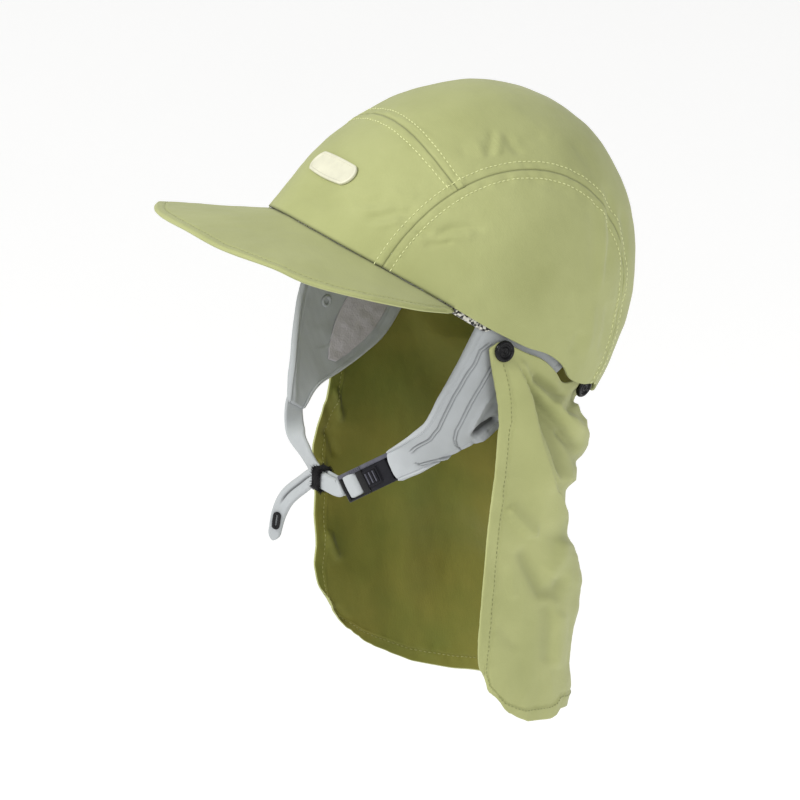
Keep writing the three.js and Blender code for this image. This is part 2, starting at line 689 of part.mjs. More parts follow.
function neckFlap() {
  return piece("neck_flap", sheetGeometry(flapPoint, FLAP_WALL, 1, 52, 15), SHADE_CLOTH);
}

// A ribbon of webbing along a route, its face turning from one direction to another past a share of it
function ribbonGeometry(route, width, wall, startFacing, endFacing, turnFrom, steps) {
  const curve = new THREE.CatmullRomCurve3(route);
  const face = (depth) => (u, v) => {
    const tangent = curve.getTangentAt(u);
    const outward = startFacing.clone().lerp(endFacing, smoothstep(u, turnFrom, 1));
    outward.addScaledVector(tangent, -outward.dot(tangent)).normalize();
    const aside = outward.clone().cross(tangent);
    return curve.getPointAt(u).addScaledVector(aside, width * (v - 0.5)).addScaledVector(outward, -depth);
  };
  return wallGeometry(face(-wall / 2), face(wall / 2), steps, 2);
}

// The places of a strap: an origin, a direction along it, one across it and one away from the chin
function strapFrame(origin, along, away) {
  const forward = along.clone().normalize();
  const outward = away.clone().addScaledVector(forward, -away.dot(forward)).normalize();
  const aside = outward.clone().cross(forward);
  const at = (x, y, z) => {
    const place = origin.clone().addScaledVector(forward, x);
    return place.addScaledVector(aside, y).addScaledVector(outward, z);
  };
  const turn = new THREE.Matrix4().makeBasis(forward, aside, outward);
  return { origin, outward, at, turn };
}

const buckleStart = worn(earPoint(LEFT_EAR_ROWS, 1, 0.5, 1));
const buckleEnd = new Vector3(...BUCKLE_END);
const buckleFrame = strapFrame(buckleStart, buckleEnd.clone().sub(buckleStart), new Vector3(...BUCKLE_FACING));
const keeperFrame = strapFrame(new Vector3(...KEEPER_PLACE), new Vector3(...KEEPER_ALONG), buckleFrame.outward);

function roundedOutline(left, right, halfWidth, corner) {
  const outline = new THREE.Shape();
  outline.moveTo(left + corner, -halfWidth);
  outline.lineTo(right - corner, -halfWidth);
  outline.absarc(right - corner, -halfWidth + corner, corner, -Math.PI / 2, 0);
  outline.absarc(right - corner, halfWidth - corner, corner, 0, Math.PI / 2);
  outline.absarc(left + corner, halfWidth - corner, corner, Math.PI / 2, Math.PI);
  outline.absarc(left + corner, -halfWidth + corner, corner, Math.PI, 1.5 * Math.PI);
  return outline;
}

// An extruded outline, centred on its own plane, closed and merged
function plateGeometry(outline, thickness) {
  const options = { depth: thickness, bevelEnabled: false, curveSegments: 2 };
  const plate = new THREE.ExtrudeGeometry(outline, options).translate(0, 0, -thickness / 2);
  const position = plate.getAttribute("position");
  return closedGeometry([...position.array], [...Array(position.count).keys()]);
}

// A buckle half from one end to the other, with the slot for its webbing beside the bar at barEnd
function buckleHalf(name, left, right, barEnd, finish) {
  const outline = roundedOutline(left, right, BUCKLE_WIDTH / 2, 1);
  const slotStart = barEnd === left ? left + BUCKLE_RAIL : right - BUCKLE_RAIL - SLOT_LENGTH;
  const slot = roundedOutline(slotStart, slotStart + SLOT_LENGTH, LOOP_WIDTH / 2 + 2 * GAP, 0.4);
  outline.holes.push(slot);
  return piece(name, plateGeometry(outline, BUCKLE_THICKNESS), finish);
}

// Webbing sewn round a bar of a buckle half
function strapLoop(name, barStart, barFinish) {
  const hollow = roundedOutline(barStart - GAP, barFinish + GAP, BUCKLE_THICKNESS / 2 + GAP, 0.9);
  const wall = LOOP_WALL;
  const outside = roundedOutline(barStart - GAP - wall, barFinish + GAP + wall, BUCKLE_THICKNESS / 2 + GAP + wall, 2.4);
  outside.holes.push(hollow);
  const loop = plateGeometry(outside, LOOP_WIDTH).rotateX(Math.PI / 2);
  return piece(name, loop, GREY_STRETCH);
}

const head = new THREE.Group();
head.rotation.x = -degToRad(WEAR_PITCH);
head.add(frontPanel(), topPanel());
head.add(sidePanel("crown_side_panel_left", 1), sidePanel("crown_side_panel_right", -1));
head.add(peak(), frontBadge(), sweatband());
head.add(earPanel("ear_panel_left", LEFT_EAR_ROWS, 1), earPanel("ear_panel_right", RIGHT_EAR_ROWS, -1));
head.add(earPocket("ear_pocket_left", LEFT_EAR_ROWS, 1), earPocket("ear_pocket_right", RIGHT_EAR_ROWS, -1));
head.add(earEyelet("ear_eyelet_left", LEFT_EAR_ROWS, 1), earEyelet("ear_eyelet_right", RIGHT_EAR_ROWS, -1));
head.add(...BACK_SNAP_ROWS.map(backSnap));

const socketStart = LOOP_WALL + GAP + STRAP_WALL;
const socketEnd = socketStart + SOCKET_LENGTH;
const prongEnd = socketEnd + GAP + PRONG_LENGTH;
const loopEnd = prongEnd + GAP + LOOP_WALL;

// Two layers of webbing pass the keeper, the strap under the tail
const strapLayer = -(STRAP_WALL + GAP) / 2;
const tailLayer = (TAIL_WALL + GAP) / 2;
const layerStart = (layer) => [3 * GAP, 3 * GAP + STRAP_WALL].map((past) => buckleFrame.at(loopEnd + past, 0, layer));

function framed(frame, ...pieces) {
  const group = new THREE.Group();
  group.add(...pieces);
  group.position.copy(frame.origin);
  group.quaternion.setFromRotationMatrix(frame.turn);
  return group;
}

function buckle() {
  return framed(
    buckleFrame,
    buckleHalf("buckle_socket", socketStart, socketEnd, socketStart, SLATE_PLASTIC),
    buckleHalf("buckle_prong", socketEnd + GAP, prongEnd, prongEnd, BLACK_PLASTIC),
    strapLoop("strap_loop_left", socketStart, socketStart + BUCKLE_RAIL),
    strapLoop("strap_loop_right", prongEnd - BUCKLE_RAIL, prongEnd),
  );
}

function strapKeeper() {
  const high = TAIL_WALL + 1.5 * GAP;
  const low = STRAP_WALL + 1.5 * GAP;
  const wide = Math.max(STRAP_WIDTH, TAIL_WIDTH) / 2 + GAP;
  const outline = roundedOutline(-low - KEEPER_WALL, high + KEEPER_WALL, wide + KEEPER_WALL, 1.5);
  outline.holes.push(roundedOutline(-low, high, wide, 0.5));
  const band = plateGeometry(outline, KEEPER_LENGTH).rotateY(-Math.PI / 2);
  return framed(keeperFrame, piece("strap_keeper", band, BLACK_PLASTIC));
}

// Strap points from the keeper, as shares of the way to the ear panel's tip and of STRAP_SAG
const STRAP_ROWS = [
  { share: 0.6, aside: 0, ahead: -0.05, below: 1 },
  { share: 0.93, aside: -0.18, ahead: 0, below: 1 },
];

function chinStrapRight() {
  const tip = worn(earPoint(RIGHT_EAR_ROWS, -1, 0.5, 1));
  const route = [...layerStart(strapLayer), keeperFrame.at(-KEEPER_LENGTH / 2, 0, strapLayer)];
  route.push(keeperFrame.at(KEEPER_LENGTH / 2, 0, strapLayer));
  for (const { share, aside, ahead, below } of STRAP_ROWS) {
    const sag = new Vector3(aside, -ahead, -below).multiplyScalar(STRAP_SAG);
    route.push(keeperFrame.origin.clone().lerp(tip, share).add(sag));
  }
  route.push(tip.clone().add(new Vector3(0, -2 * GAP, -5 * GAP)));
  const end = new Vector3(-0.95, -0.3, 0);
  const ribbon = ribbonGeometry(route, STRAP_WIDTH, STRAP_WALL, keeperFrame.outward, end, 0.3, 22);
  return piece("chin_strap_right", ribbon, GREY_STRETCH);
}

// Points of the free end from the keeper, as shares of TAIL_REACH
const TAIL_ROWS = [
  { aside: -0.44, ahead: 0.04, below: 0.21 },
  { aside: -0.6, ahead: 0.16, below: 0.4 },
  { aside: -0.7, ahead: 0.22, below: 0.62 },
  { aside: -0.79, ahead: 0.26, below: 1 },
];

function tailRoute() {
  const route = [...layerStart(tailLayer), keeperFrame.at(-KEEPER_LENGTH / 2, 0, tailLayer)];
  route.push(keeperFrame.at(KEEPER_LENGTH / 2, 0, tailLayer));
  for (const { aside, ahead, below } of TAIL_ROWS) {
    const way = new Vector3(aside, -ahead, -below).multiplyScalar(TAIL_REACH);
    route.push(keeperFrame.origin.clone().add(way));
  }
  return route;
}

const tailFacing = new Vector3(...TAIL_FACING);

function strapTail() {
  const ribbon = ribbonGeometry(tailRoute(), TAIL_WIDTH, TAIL_WALL, keeperFrame.outward, tailFacing, 0.35, 20);
  return piece("strap_tail", ribbon, GREY_STRETCH);
}

// A slotted eyelet on the outer face of the tail, near its end
function tailEyelet() {
  const curve = new THREE.CatmullRomCurve3(tailRoute());
  const share = 1 - TAIL_EYELET_SETBACK / curve.getLength();
  const frame = strapFrame(curve.getPointAt(share), curve.getTangentAt(share), tailFacing);
  const half = TAIL_EYELET_LENGTH / 2;
  const outline = roundedOutline(-half, half, TAIL_EYELET_WIDTH / 2, TAIL_EYELET_WIDTH * 0.45);
  outline.holes.push(roundedOutline(-half * 0.6, half * 0.6, TAIL_EYELET_WIDTH * 0.16, TAIL_EYELET_WIDTH * 0.12));
  const plate = plateGeometry(outline, TAIL_EYELET_THICKNESS);
  plate.translate(0, 0, (TAIL_WALL + TAIL_EYELET_THICKNESS) / 2 + 2 * GAP);
  return framed(frame, piece("tail_eyelet", plate, BLACK_PLASTIC));
}

const cap = new THREE.Group();
cap.add(head, neckFlap(), ...FRONT_SNAP_ROWS.map(frontSnap), buckle(), strapKeeper(), chinStrapRight(), strapTail(), tailEyelet());

export default cap;
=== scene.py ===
"""Legionnaire cap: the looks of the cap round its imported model, laid out as an add-on.

Shapes are worked out in millimetres and turned to metres where a mesh is made.
The front faces -Y and +Z is up. The wearer's left side, at +X, is the side that the camera sees.
"""

import math

import bmesh
import bpy
import numpy as np
from mathutils import Matrix, Vector


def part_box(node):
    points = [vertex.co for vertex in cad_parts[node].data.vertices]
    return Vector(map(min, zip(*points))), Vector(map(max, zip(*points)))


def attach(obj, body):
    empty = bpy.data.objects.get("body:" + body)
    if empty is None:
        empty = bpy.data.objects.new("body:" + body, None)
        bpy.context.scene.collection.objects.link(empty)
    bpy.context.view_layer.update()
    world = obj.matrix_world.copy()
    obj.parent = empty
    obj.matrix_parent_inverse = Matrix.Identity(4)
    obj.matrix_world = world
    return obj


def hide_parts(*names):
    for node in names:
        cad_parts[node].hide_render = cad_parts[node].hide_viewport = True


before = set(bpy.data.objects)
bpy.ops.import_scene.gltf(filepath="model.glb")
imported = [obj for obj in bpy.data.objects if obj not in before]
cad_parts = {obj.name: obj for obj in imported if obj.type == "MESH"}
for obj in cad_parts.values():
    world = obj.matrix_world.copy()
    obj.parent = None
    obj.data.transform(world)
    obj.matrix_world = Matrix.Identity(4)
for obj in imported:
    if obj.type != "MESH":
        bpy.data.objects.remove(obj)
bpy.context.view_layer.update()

bl_info = {
    "name": "Legionnaire cap",
    "version": (1, 0, 0),
    "blender": (4, 5, 0),
    "location": "3D View > Sidebar > Cap",
    "description": "Builds a legionnaire cap with a peak, a chin strap and a neck flap",
    "category": "Add Mesh",
}

MM = 0.001

# From the camera to the cap in millimetres, far enough for the photograph's flat look
CAMERA_DISTANCE = 6000


def linear(colour):
    """An sRGB hex colour as linear red, green and blue."""
    shares = [int(colour[i : i + 2], 16) / 255 for i in (1, 3, 5)]
    return tuple(s / 12.92 if s <= 0.04045 else ((s + 0.055) / 1.055) ** 2.4 for s in shares)


def length(name, description, millimetres):
    return bpy.props.FloatProperty(
        name=name,
        description=description,
        default=millimetres * MM,
        unit="LENGTH",
        subtype="DISTANCE",
        precision=4,
    )


def colour(name, description, value):
    return bpy.props.FloatVectorProperty(
        name=name, description=description, default=linear(value), subtype="COLOR", size=3, min=0, max=1
    )


class CapSizes(bpy.types.PropertyGroup):
    """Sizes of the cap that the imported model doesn't fix."""

    stitch_spacing: length("Stitch spacing", "From one stitch to the next", 2.8)
    stitch_length: length("Stitch length", "Length of one stitch on the cloth", 2.0)
    thread_radius: length("Thread radius", "Half the thickness of the sewing thread", 0.28)
    seam_to_stitch: length("Seam to stitch", "From a crown seam to each of its topstitch lines", 5.0)
    flap_hem: length("Flap hem", "Width of the hem round the neck flap", 6.8)
    peak_hem: length("Peak edge", "From the edge of the peak to its stitch line", 5.0)
    cloth_crumple: length("Cloth crumple", "Height of the small unevenness of the woven cloth", 0.35)
    camera_distance: length("Camera distance", "From the camera to the cap", CAMERA_DISTANCE)


class CapColours(bpy.types.PropertyGroup):
    """Colours of the cap's finishes."""

    crown_cloth: colour("Crown cloth", "Woven cloth of the crown and the peak", "#a8ac76")
    crown_shade: colour("Crown cloth, shade", "The deeper tone of the same cloth", "#9a9e68")
    flap_cloth: colour("Flap cloth", "Outside of the neck flap", "#aaad76")
    # The flap's inside is drawn as a darker, greener copy of the flap cloth: painted shade.
    flap_inside: colour("Flap inside", "Inside of the neck flap", "#746d27")
    flap_inside_green: colour("Flap inside, green", "The greener tone of the same cloth", "#5b611d")
    # Thread on the flap's inside, darker than the outer thread: painted shade.
    thread_inside_painted_shade: colour("Thread, inside", "Stitching on the inside of the neck flap", "#8c8a45")
    thread: colour("Thread", "Topstitching", "#dfe3a6")
    stretch_cloth: colour("Stretch cloth", "Ear panels and straps", "#a9adaf")
    mesh_cloth: colour("Mesh cloth", "Pockets in the ear panels", "#b2aeb3")
    badge: colour("Badge", "Rubber badge", "#d6d4bd")
    black_plastic: colour("Black plastic", "Snaps and buckle bars", "#08080a")
    slate_plastic: colour("Slate plastic", "Body of the buckle", "#19191d")
    elastic: colour("Elastic", "Band that holds the strap's free end", "#0b0a0c")


def sizes():
    return bpy.context.scene.cap_sizes


def colours():
    return bpy.context.scene.cap_colours


# The photograph's view: degrees, pixels to a millimetre, and the origin's pixel
VIEW_AZIMUTH = 60
VIEW_ELEVATION = 18.8
PIXELS_PER_MM = 1.96
PHOTO_SIZE = 800
ORIGIN_PIXEL = (432.5, 292.5)

azimuth, elevation = math.radians(VIEW_AZIMUTH), math.radians(VIEW_ELEVATION)
VIEW_RIGHT = np.array([math.cos(azimuth), math.sin(azimuth), 0])
VIEW_UP = np.array(
    [-math.sin(azimuth) * math.sin(elevation), math.cos(azimuth) * math.sin(elevation), math.cos(elevation)]
)
VIEW_BACK = np.cross(VIEW_RIGHT, VIEW_UP)

# Crown, in millimetres and degrees
HALF_LENGTH = 102
HALF_WIDTH = 84
CROWN_HEIGHT = 116
CROWN_LEAN = 6
CROWN_WALL = 1.6
SIDE_SEAM = 57.5
FRONT_SEAM_HEIGHT = 68
FRONT_SEAM_FALL = 17
RIM_SCALLOP = 4.4
DENT_DEPTH = 4
WEAR_PITCH = 34.3
GAP = 0.3


def table(**columns):
    return {name: np.array(values, float) for name, values in columns.items()}


# Rim height by its turn from the front in degrees, as shares of RIM_SCALLOP
RIM = table(
    turn=(0, 30, 55, 68, 80, 90, 96, 104, 112, 119, 128, 137, 144, 156, 166, 180),
    height=(
        -0.4, -0.5, -0.45, -0.5, -0.58, -0.46, -0.3, 0.18, -0.1, -1, -0.8, -0.05, -0.05, -0.8, -0.8, -0.05,
    ),
)

# Broad dents of the crown: direction, reach in radians, depth as a share of DENT_DEPTH
DENTS = table(
    right=(0.05, -0.5, -0.15, 0.62, 0.3, 0.72),
    back=(-0.98, -0.86, -0.85, -0.35, -0.2, 0.62),
    up=(0.12, 0.14, 0.5, 0.85, 0.93, 0.32),
    reach=(0.2, 0.2, 0.45, 0.2, 0.16, 0.16),
    depth=(0.6, 0.6, 1, 0.4, 0.35, 0.4),
)

PEAK_LENGTH = 64
PEAK_WRAP = 68
PEAK_WALL = 2.8
PEAK_EDGE = table(
    wrap=(0, 0.17, 0.28, 0.42, 0.52, 0.6, 0.72, 0.8, 0.91, 1),
    aside=(0, 0.142, 0.225, 0.35, 0.38, 0.392, 0.384, 0.33, 0.217, 0.045),
    ahead=(0.844, 0.832, 0.822, 0.75, 0.678, 0.591, 0.486, 0.39, 0.233, 0.075),
    drop=(0.475, 0.475, 0.455, 0.4, 0.384, 0.345, 0.267, 0.21, 0.12, 0.03),
)

BADGE_LENGTH = 38
BADGE_WIDTH = 13
BADGE_THICKNESS = 1.5
BADGE_HEIGHT = 31
BADGE_ASIDE = 3

SWEATBAND_WALL = 1.5
SWEATBAND_RISE = 26
SWEATBAND_PEEK = 2.5
SWEATBAND_NAPE_LIFT = 7.5
SWEATBAND_DEPTH = CROWN_WALL + 2 * GAP

EAR_DROP = 84
EAR_RISE = 6
EAR_WALL = 2.4
EAR_DEPTH = SWEATBAND_DEPTH + SWEATBAND_WALL + 2 * GAP

# Edges of the ear panels: shares of HALF_LENGTH, EAR_DROP and the rim's inside
LEFT_EAR = table(
    along=(0, 0.22, 0.42, 0.62, 0.78, 0.9, 1),
    front=(-0.19, -0.172, -0.152, -0.127, -0.088, -0.054, -0.018),
    front_drop=(0, 0.2, 0.4, 0.59, 0.74, 0.84, 0.92),
    front_reach=(1, 0.985, 0.955, 0.905, 0.83, 0.7, 0.54),
    rear=(0.45, 0.373, 0.325, 0.235, 0.167, 0.122, 0.09),
    rear_drop=(0, 0.19, 0.41, 0.64, 0.8, 0.93, 1.02),
    rear_reach=(1, 0.985, 0.95, 0.885, 0.8, 0.71, 0.62),
)
RIGHT_EAR = table(
    along=(0, 0.22, 0.42, 0.6, 0.76, 0.88, 1),
    front=(-0.255, -0.242, -0.205, -0.15, -0.112, -0.08, -0.045),
    front_drop=(0, 0.22, 0.45, 0.66, 0.8, 0.9, 1),
    front_reach=(1, 0.985, 0.955, 0.885, 0.82, 0.785, 0.75),
    rear=(0.45, 0.36, 0.33, 0.25, 0.15, 0.07, 0.045),
    rear_drop=(0, 0.19, 0.41, 0.6, 0.75, 0.86, 1),
    rear_reach=(1, 0.985, 0.945, 0.9, 0.83, 0.78, 0.74),
)
POCKET = table(
    along=(0.12, 0.25, 0.45, 0.6, 0.68),
    front=(0.56, 0.53, 0.49, 0.56, 0.66),
    rear=(0.9, 0.9, 0.885, 0.85, 0.8),
)

FLAP_FLARE = 1
FLAP_DROP = 226
FLAP_HEM_BACK = -23
FLAP_BACK = 81
FLAP_WALL = 1.1
FLAP_MIDDLE = 20
FLAP_ROUNDNESS = 2.5
FLAP_SIDE_DROP = 6
SNAP_RADIUS = 5.6
SNAP_THICKNESS = 2.6

# Flap's top edge by its turn from the front: its tuck behind the snaps, and its height in snap radii
FLAP_TOP = table(
    turn=(84.5, 86, 88, 91, 104, 117, 127, 136, 143, 158, 172, 180),
    tuck=(0, 0, 0, 0, 0, 0, 0.6, 1, 1, 0.95, 1, 1),
    height=(-1.9, -1, -0.66, -0.6, -0.7, -0.85, -0.2, 0.45, 0.45, -0.6, 0.4, 0.45),
)
FLAP_SECTIONS = table(
    drop=(0, 0.07, 0.17, 0.27, 0.4, 0.5, 0.6, 0.68, 0.76, 0.86, 0.94, 1),
    width=(1, 1, 1, 1, 1, 1, 1, 1, 0.99, 0.98, 0.97, 0.96),
    left_hem=(0.7, 0.69, 0.51, 0.48, 0.58, 0.68, 0.75, 0.81, 0.87, 1, 0.92, 0.62),
    right_hem=(0.7, 0.72, 0.68, 0.76, 0.84, 0.84, 0.78, 0.8, 0.85, 0.93, 0.88, 0.62),
    back=(1, 0.96, 0.88, 0.8, 0.75, 0.74, 0.81, 0.875, 0.85, 0.8, 0.79, 0.75),
)
FLAP_BOTTOM = table(
    round=(0, 0.05, 0.14, 0.29, 0.46, 0.6, 1),
    drop=(0.855, 0.9, 0.942, 0.975, 0.99, 1, 1),
)


def read(rows, key, column, place):
    """A table's value at a place between its rows, on a smooth curve through them."""
    keys, values = rows[key], rows[column]
    place = np.asarray(place, float)
    slopes = np.empty_like(values)
    slopes[1:-1] = (values[2:] - values[:-2]) / (keys[2:] - keys[:-2])
    slopes[0] = (values[1] - values[0]) / (keys[1] - keys[0])
    slopes[-1] = (values[-1] - values[-2]) / (keys[-1] - keys[-2])
    row = np.clip(np.searchsorted(keys, place) - 1, 0, len(keys) - 2)
    step = keys[row + 1] - keys[row]
    t = np.clip((place - keys[row]) / step, 0, 1)
    bend = t * t * (3 - 2 * t)
    swing = slopes[row] * t * (1 - t) ** 2 - slopes[row + 1] * t * t * (1 - t)
    return values[row] * (1 - bend) + values[row + 1] * bend + step * swing


def smooth(value, low, high):
    t = np.clip((value - low) / (high - low), 0, 1)
    return t * t * (3 - 2 * t)


def mix(a, b, t):
    return a + (b - a) * t


def unit(vectors):
    size = np.linalg.norm(vectors, axis=-1, keepdims=True)
    return vectors / np.maximum(size, 1e-9)


def joined(*parts):
    return np.stack(np.broadcast_arrays(*parts), axis=-1).astype(float)


def worn(points):
    """Points of the tilted cap in the frame of the upright head."""
    pitch = math.radians(WEAR_PITCH)
    x, y, z = np.moveaxis(np.asarray(points, float), -1, 0)
    return joined(x, y * math.cos(pitch) + z * math.sin(pitch), z * math.cos(pitch) - y * math.sin(pitch))


def seen(points):
    """The photograph's pixels of points in millimetres."""
    near = CAMERA_DISTANCE / (CAMERA_DISTANCE - points @ VIEW_BACK)
    x = ORIGIN_PIXEL[0] + PIXELS_PER_MM * (points @ VIEW_RIGHT)
    y = ORIGIN_PIXEL[1] - PIXELS_PER_MM * (points @ VIEW_UP)
    middle = PHOTO_SIZE / 2
    return joined(middle + (x - middle) * near, middle + (y - middle) * near)


def crease(pixels, path, right_hand, left_hand, height, taper=0.25):
    """A fold along a path of pixels, with a width in pixels on each hand, that fades at its ends."""
    path = np.array(path, float)
    steps = np.diff(path, axis=0)
    lengths = np.linalg.norm(steps, axis=1)
    starts = np.concatenate([[0], np.cumsum(lengths)[:-1]])
    nearest = np.full(pixels.shape[:2], 1e9)
    side = np.zeros(pixels.shape[:2])
    along = np.zeros(pixels.shape[:2])
    for start, step, size, begun in zip(path[:-1], steps, lengths, starts):
        away = pixels - start
        t = np.clip((away @ step) / size**2, 0, 1)
        gap = away - t[..., None] * step
        distance = np.linalg.norm(gap, axis=-1)
        closer = distance < nearest
        nearest = np.where(closer, distance, nearest)
        side = np.where(closer, step[0] * away[..., 1] - step[1] * away[..., 0], side)
        along = np.where(closer, (begun + t * size) / lengths.sum(), along)
    width = np.where(side > 0, right_hand, left_hand)
    ends = smooth(np.minimum(along, 1 - along), -0.02, taper) if taper else 1
    return height * ends * np.exp(-((nearest / width) ** 2))


def crumple(points, scale, seed, octaves=3):
    """Smooth unevenness from -1 to 1 with a size in millimetres, the same on every run."""
    chance = np.random.default_rng(seed)
    total = np.zeros(points.shape[:-1])
    weight = 0.0
    for octave in range(octaves):
        share = 0.5**octave
        for _ in range(7):
            direction = unit(chance.normal(size=3)) * 2 * math.pi / (scale * share * chance.uniform(0.7, 1.5))
            total += share * np.sin(points @ direction + chance.uniform(0, 2 * math.pi))
            weight += share * share * 0.5
    return np.clip(total / (2.2 * math.sqrt(weight)), -1, 1)


def rim_direction(turn, side, up=0.0):
    level = np.sqrt(1 - np.asarray(up, float) ** 2)
    angle = np.radians(turn)
    return joined(side * np.sin(angle) * level, -np.cos(angle) * level, up)


def dome_facing(direction):
    x, y, z = np.moveaxis(direction, -1, 0)
    lean = CROWN_LEAN * y / HALF_LENGTH
    return unit(joined(x / HALF_WIDTH, y / HALF_LENGTH, (z - lean) / CROWN_HEIGHT))


def dent_depth(direction):
    depth = 0
    for right, back, up, reach, share in zip(*(DENTS[c] for c in ("right", "back", "up", "reach", "depth"))):
        middle = unit(np.array([right, back, up]))
        away = np.arccos(np.clip(unit(direction) @ middle, -1, 1)) / reach
        depth = depth + share * np.exp(-away * away)
    return DENT_DEPTH * depth


def dome_point(direction, depth):
    """A place on the crown of the level cap, at a depth under its outer face."""
    x, y, z = np.moveaxis(direction, -1, 0)
    turn = np.degrees(np.arctan2(np.abs(x), -y))
    rise = RIM_SCALLOP * read(RIM, "turn", "height", turn) * (1 - np.abs(z)) ** 4
    place = joined(HALF_WIDTH * x, HALF_LENGTH * y + CROWN_LEAN * z, CROWN_HEIGHT * z + rise)
    return place - dome_facing(direction) * (depth + dent_depth(direction))[..., None]


def band_point(turn, side, height, depth):
    return dome_point(rim_direction(turn, side, np.asarray(height) / CROWN_HEIGHT), depth)


def arch_direction(share, angle):
    level = np.sqrt(1 - share**2)
    return joined(share, -level * np.cos(angle), level * np.sin(angle))


def front_seam_angle(share):
    height = FRONT_SEAM_HEIGHT - FRONT_SEAM_FALL * (share * HALF_WIDTH / SIDE_SEAM) ** 2
    return np.arcsin(height / CROWN_HEIGHT / np.sqrt(1 - share**2))


def places(total, fine, coarse, band):
    """Shares of a length in millimetres, close together within a band at both ends."""
    edge = np.arange(0, band, fine)
    middle = np.linspace(band, total - band, max(2, round((total - 2 * band) / coarse) + 1))
    return np.concatenate([edge, middle, (total - edge)[::-1]]) / total


def slopes(grid, ring=False):
    """The change across and down a grid of points."""
    if ring:
        across = np.roll(grid, -1, axis=1) - np.roll(grid, 1, axis=1)
    else:
        across = np.gradient(grid, axis=1)
    return across, np.gradient(grid, axis=0)


def grid_normals(grid, ring=False):
    across, down = slopes(grid, ring)
    return unit(np.cross(across, down))


def quads(index):
    corners = (index[:-1, :-1], index[:-1, 1:], index[1:, 1:], index[1:, :-1])
    return np.stack([c.ravel() for c in corners], axis=1)


def ring_quads(grid):
    """The faces of a grid that closes on itself across its columns."""
    index = np.arange(grid.shape[0] * grid.shape[1]).reshape(grid.shape[:2])
    return quads(np.concatenate([index, index[:, :1]], axis=1))


def rim_loops(rows, columns, ring):
    """Border places of a grid in order, each with its neighbour inside."""
    last_row, last_column = rows - 1, columns - 1
    top = [((0, j), (1, j)) for j in range(columns)]
    bottom = [((last_row, j), (last_row - 1, j)) for j in range(columns)][::-1]
    if ring:
        return [top, bottom]
    right = [((i, last_column), (i, last_column - 1)) for i in range(1, last_row)]
    left = [((i, 0), (i, 1)) for i in range(1, last_row)][::-1]
    return [top + right + bottom + left]


def shell(outer, inner, ring=False, roundness=0.45):
    """A closed wall between two grids, with rounded edges.

    It gives the points, the faces, each face's part (outer, inner or rim) and each point's place on the grid.
    """
    rows, columns = outer.shape[:2]
    count = rows * columns
    index = np.arange(count).reshape(rows, columns)
    wrapped = np.concatenate([index, index[:, :1]], axis=1) if ring else index
    faces = [quads(wrapped), quads(wrapped + count)[:, ::-1]]
    points = [outer.reshape(-1, 3), inner.reshape(-1, 3)]
    origin = [np.arange(count), np.arange(count)]
    used = 2 * count
    for loop in rim_loops(rows, columns, ring):
        edge = np.array([index[place] for place, _ in loop])
        inside = np.array([index[place] for _, place in loop])
        a, b = points[0][edge], points[1][edge]
        away = unit(a + b - points[0][inside] - points[1][inside])
        wall = np.linalg.norm(a - b, axis=1, keepdims=True)
        points.append((a + b) / 2 + away * wall * roundness)
        origin.append(edge)
        middle = used + np.arange(len(loop))
        used += len(loop)
        following = np.roll(np.arange(len(loop)), -1)
        faces.append(np.stack([edge[following], edge, middle, middle[following]], axis=1))
        faces.append(np.stack([middle[following], middle, edge + count, edge[following] + count], axis=1))
    parts = np.concatenate([np.full(len(f), min(k, 2)) for k, f in enumerate(faces)])
    return np.concatenate(points), np.concatenate(faces), parts, np.concatenate(origin)


def turned_outwards(points, faces):
    """The faces of a closed mesh, all turned round if they point in."""
    a, b, c, d = (points[faces[:, k]] for k in range(4))
    volume = np.einsum("ij,ij->", a, np.cross(b, c)) + np.einsum("ij,ij->", a, np.cross(c, d))
    return faces[:, ::-1] if volume < 0 else faces


def linked(name, data):
    """A new object in the scene, with its mesh, light or camera."""
    made = bpy.data.objects.new(name, data)
    bpy.context.scene.collection.objects.link(made)
    return made


def cad_middle(node):
    """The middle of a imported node's box, in millimetres."""
    low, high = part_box(node)
    return np.array((low + high) / 2) / MM


def mesh_piece(name, points, faces, materials, parts=None, flat=None, shade=None):
    """A smooth mesh of four-sided faces from points in millimetres.

    flat is each point's place on the flat cloth, and shade is how much painted shade darkens the cloth there, from 0
    to 1.
    """
    faces = turned_outwards(points, faces)
    mesh = bpy.data.meshes.new(name)
    mesh.vertices.add(len(points))
    mesh.vertices.foreach_set("co", (points * MM).astype(np.float32).ravel())
    mesh.loops.add(faces.size)
    mesh.loops.foreach_set("vertex_index", faces.astype(np.int32).ravel())
    mesh.polygons.add(len(faces))
    mesh.polygons.foreach_set("loop_start", np.arange(0, faces.size, 4, dtype=np.int32))
    mesh.polygons.foreach_set("use_smooth", np.ones(len(faces), bool))
    for material in materials:
        mesh.materials.append(material)
    if parts is not None:
        mesh.polygons.foreach_set("material_index", np.minimum(parts, len(materials) - 1).astype(np.int32))
    if flat is not None:
        layer = mesh.uv_layers.new(name="UVMap")
        layer.data.foreach_set("uv", (flat[faces.ravel()] * MM).astype(np.float32).ravel())
    if shade is not None:
        layer = mesh.attributes.new("shade", "FLOAT", "POINT")
        layer.data.foreach_set("value", np.clip(shade, 0, 1).astype(np.float32))
    mesh.update()
    mesh.validate()
    return linked(name, mesh)


def flat_places(grid):
    """Lengths across and down a grid of points, in millimetres."""
    across = np.linalg.norm(np.diff(grid, axis=1), axis=-1)
    down = np.linalg.norm(np.diff(grid, axis=0), axis=-1)
    x = np.concatenate([np.zeros((grid.shape[0], 1)), np.cumsum(across, axis=1)], axis=1)
    y = np.concatenate([np.zeros((1, grid.shape[1])), np.cumsum(down, axis=0)], axis=0)
    return joined(x - x[:, -1:] / 2, y)


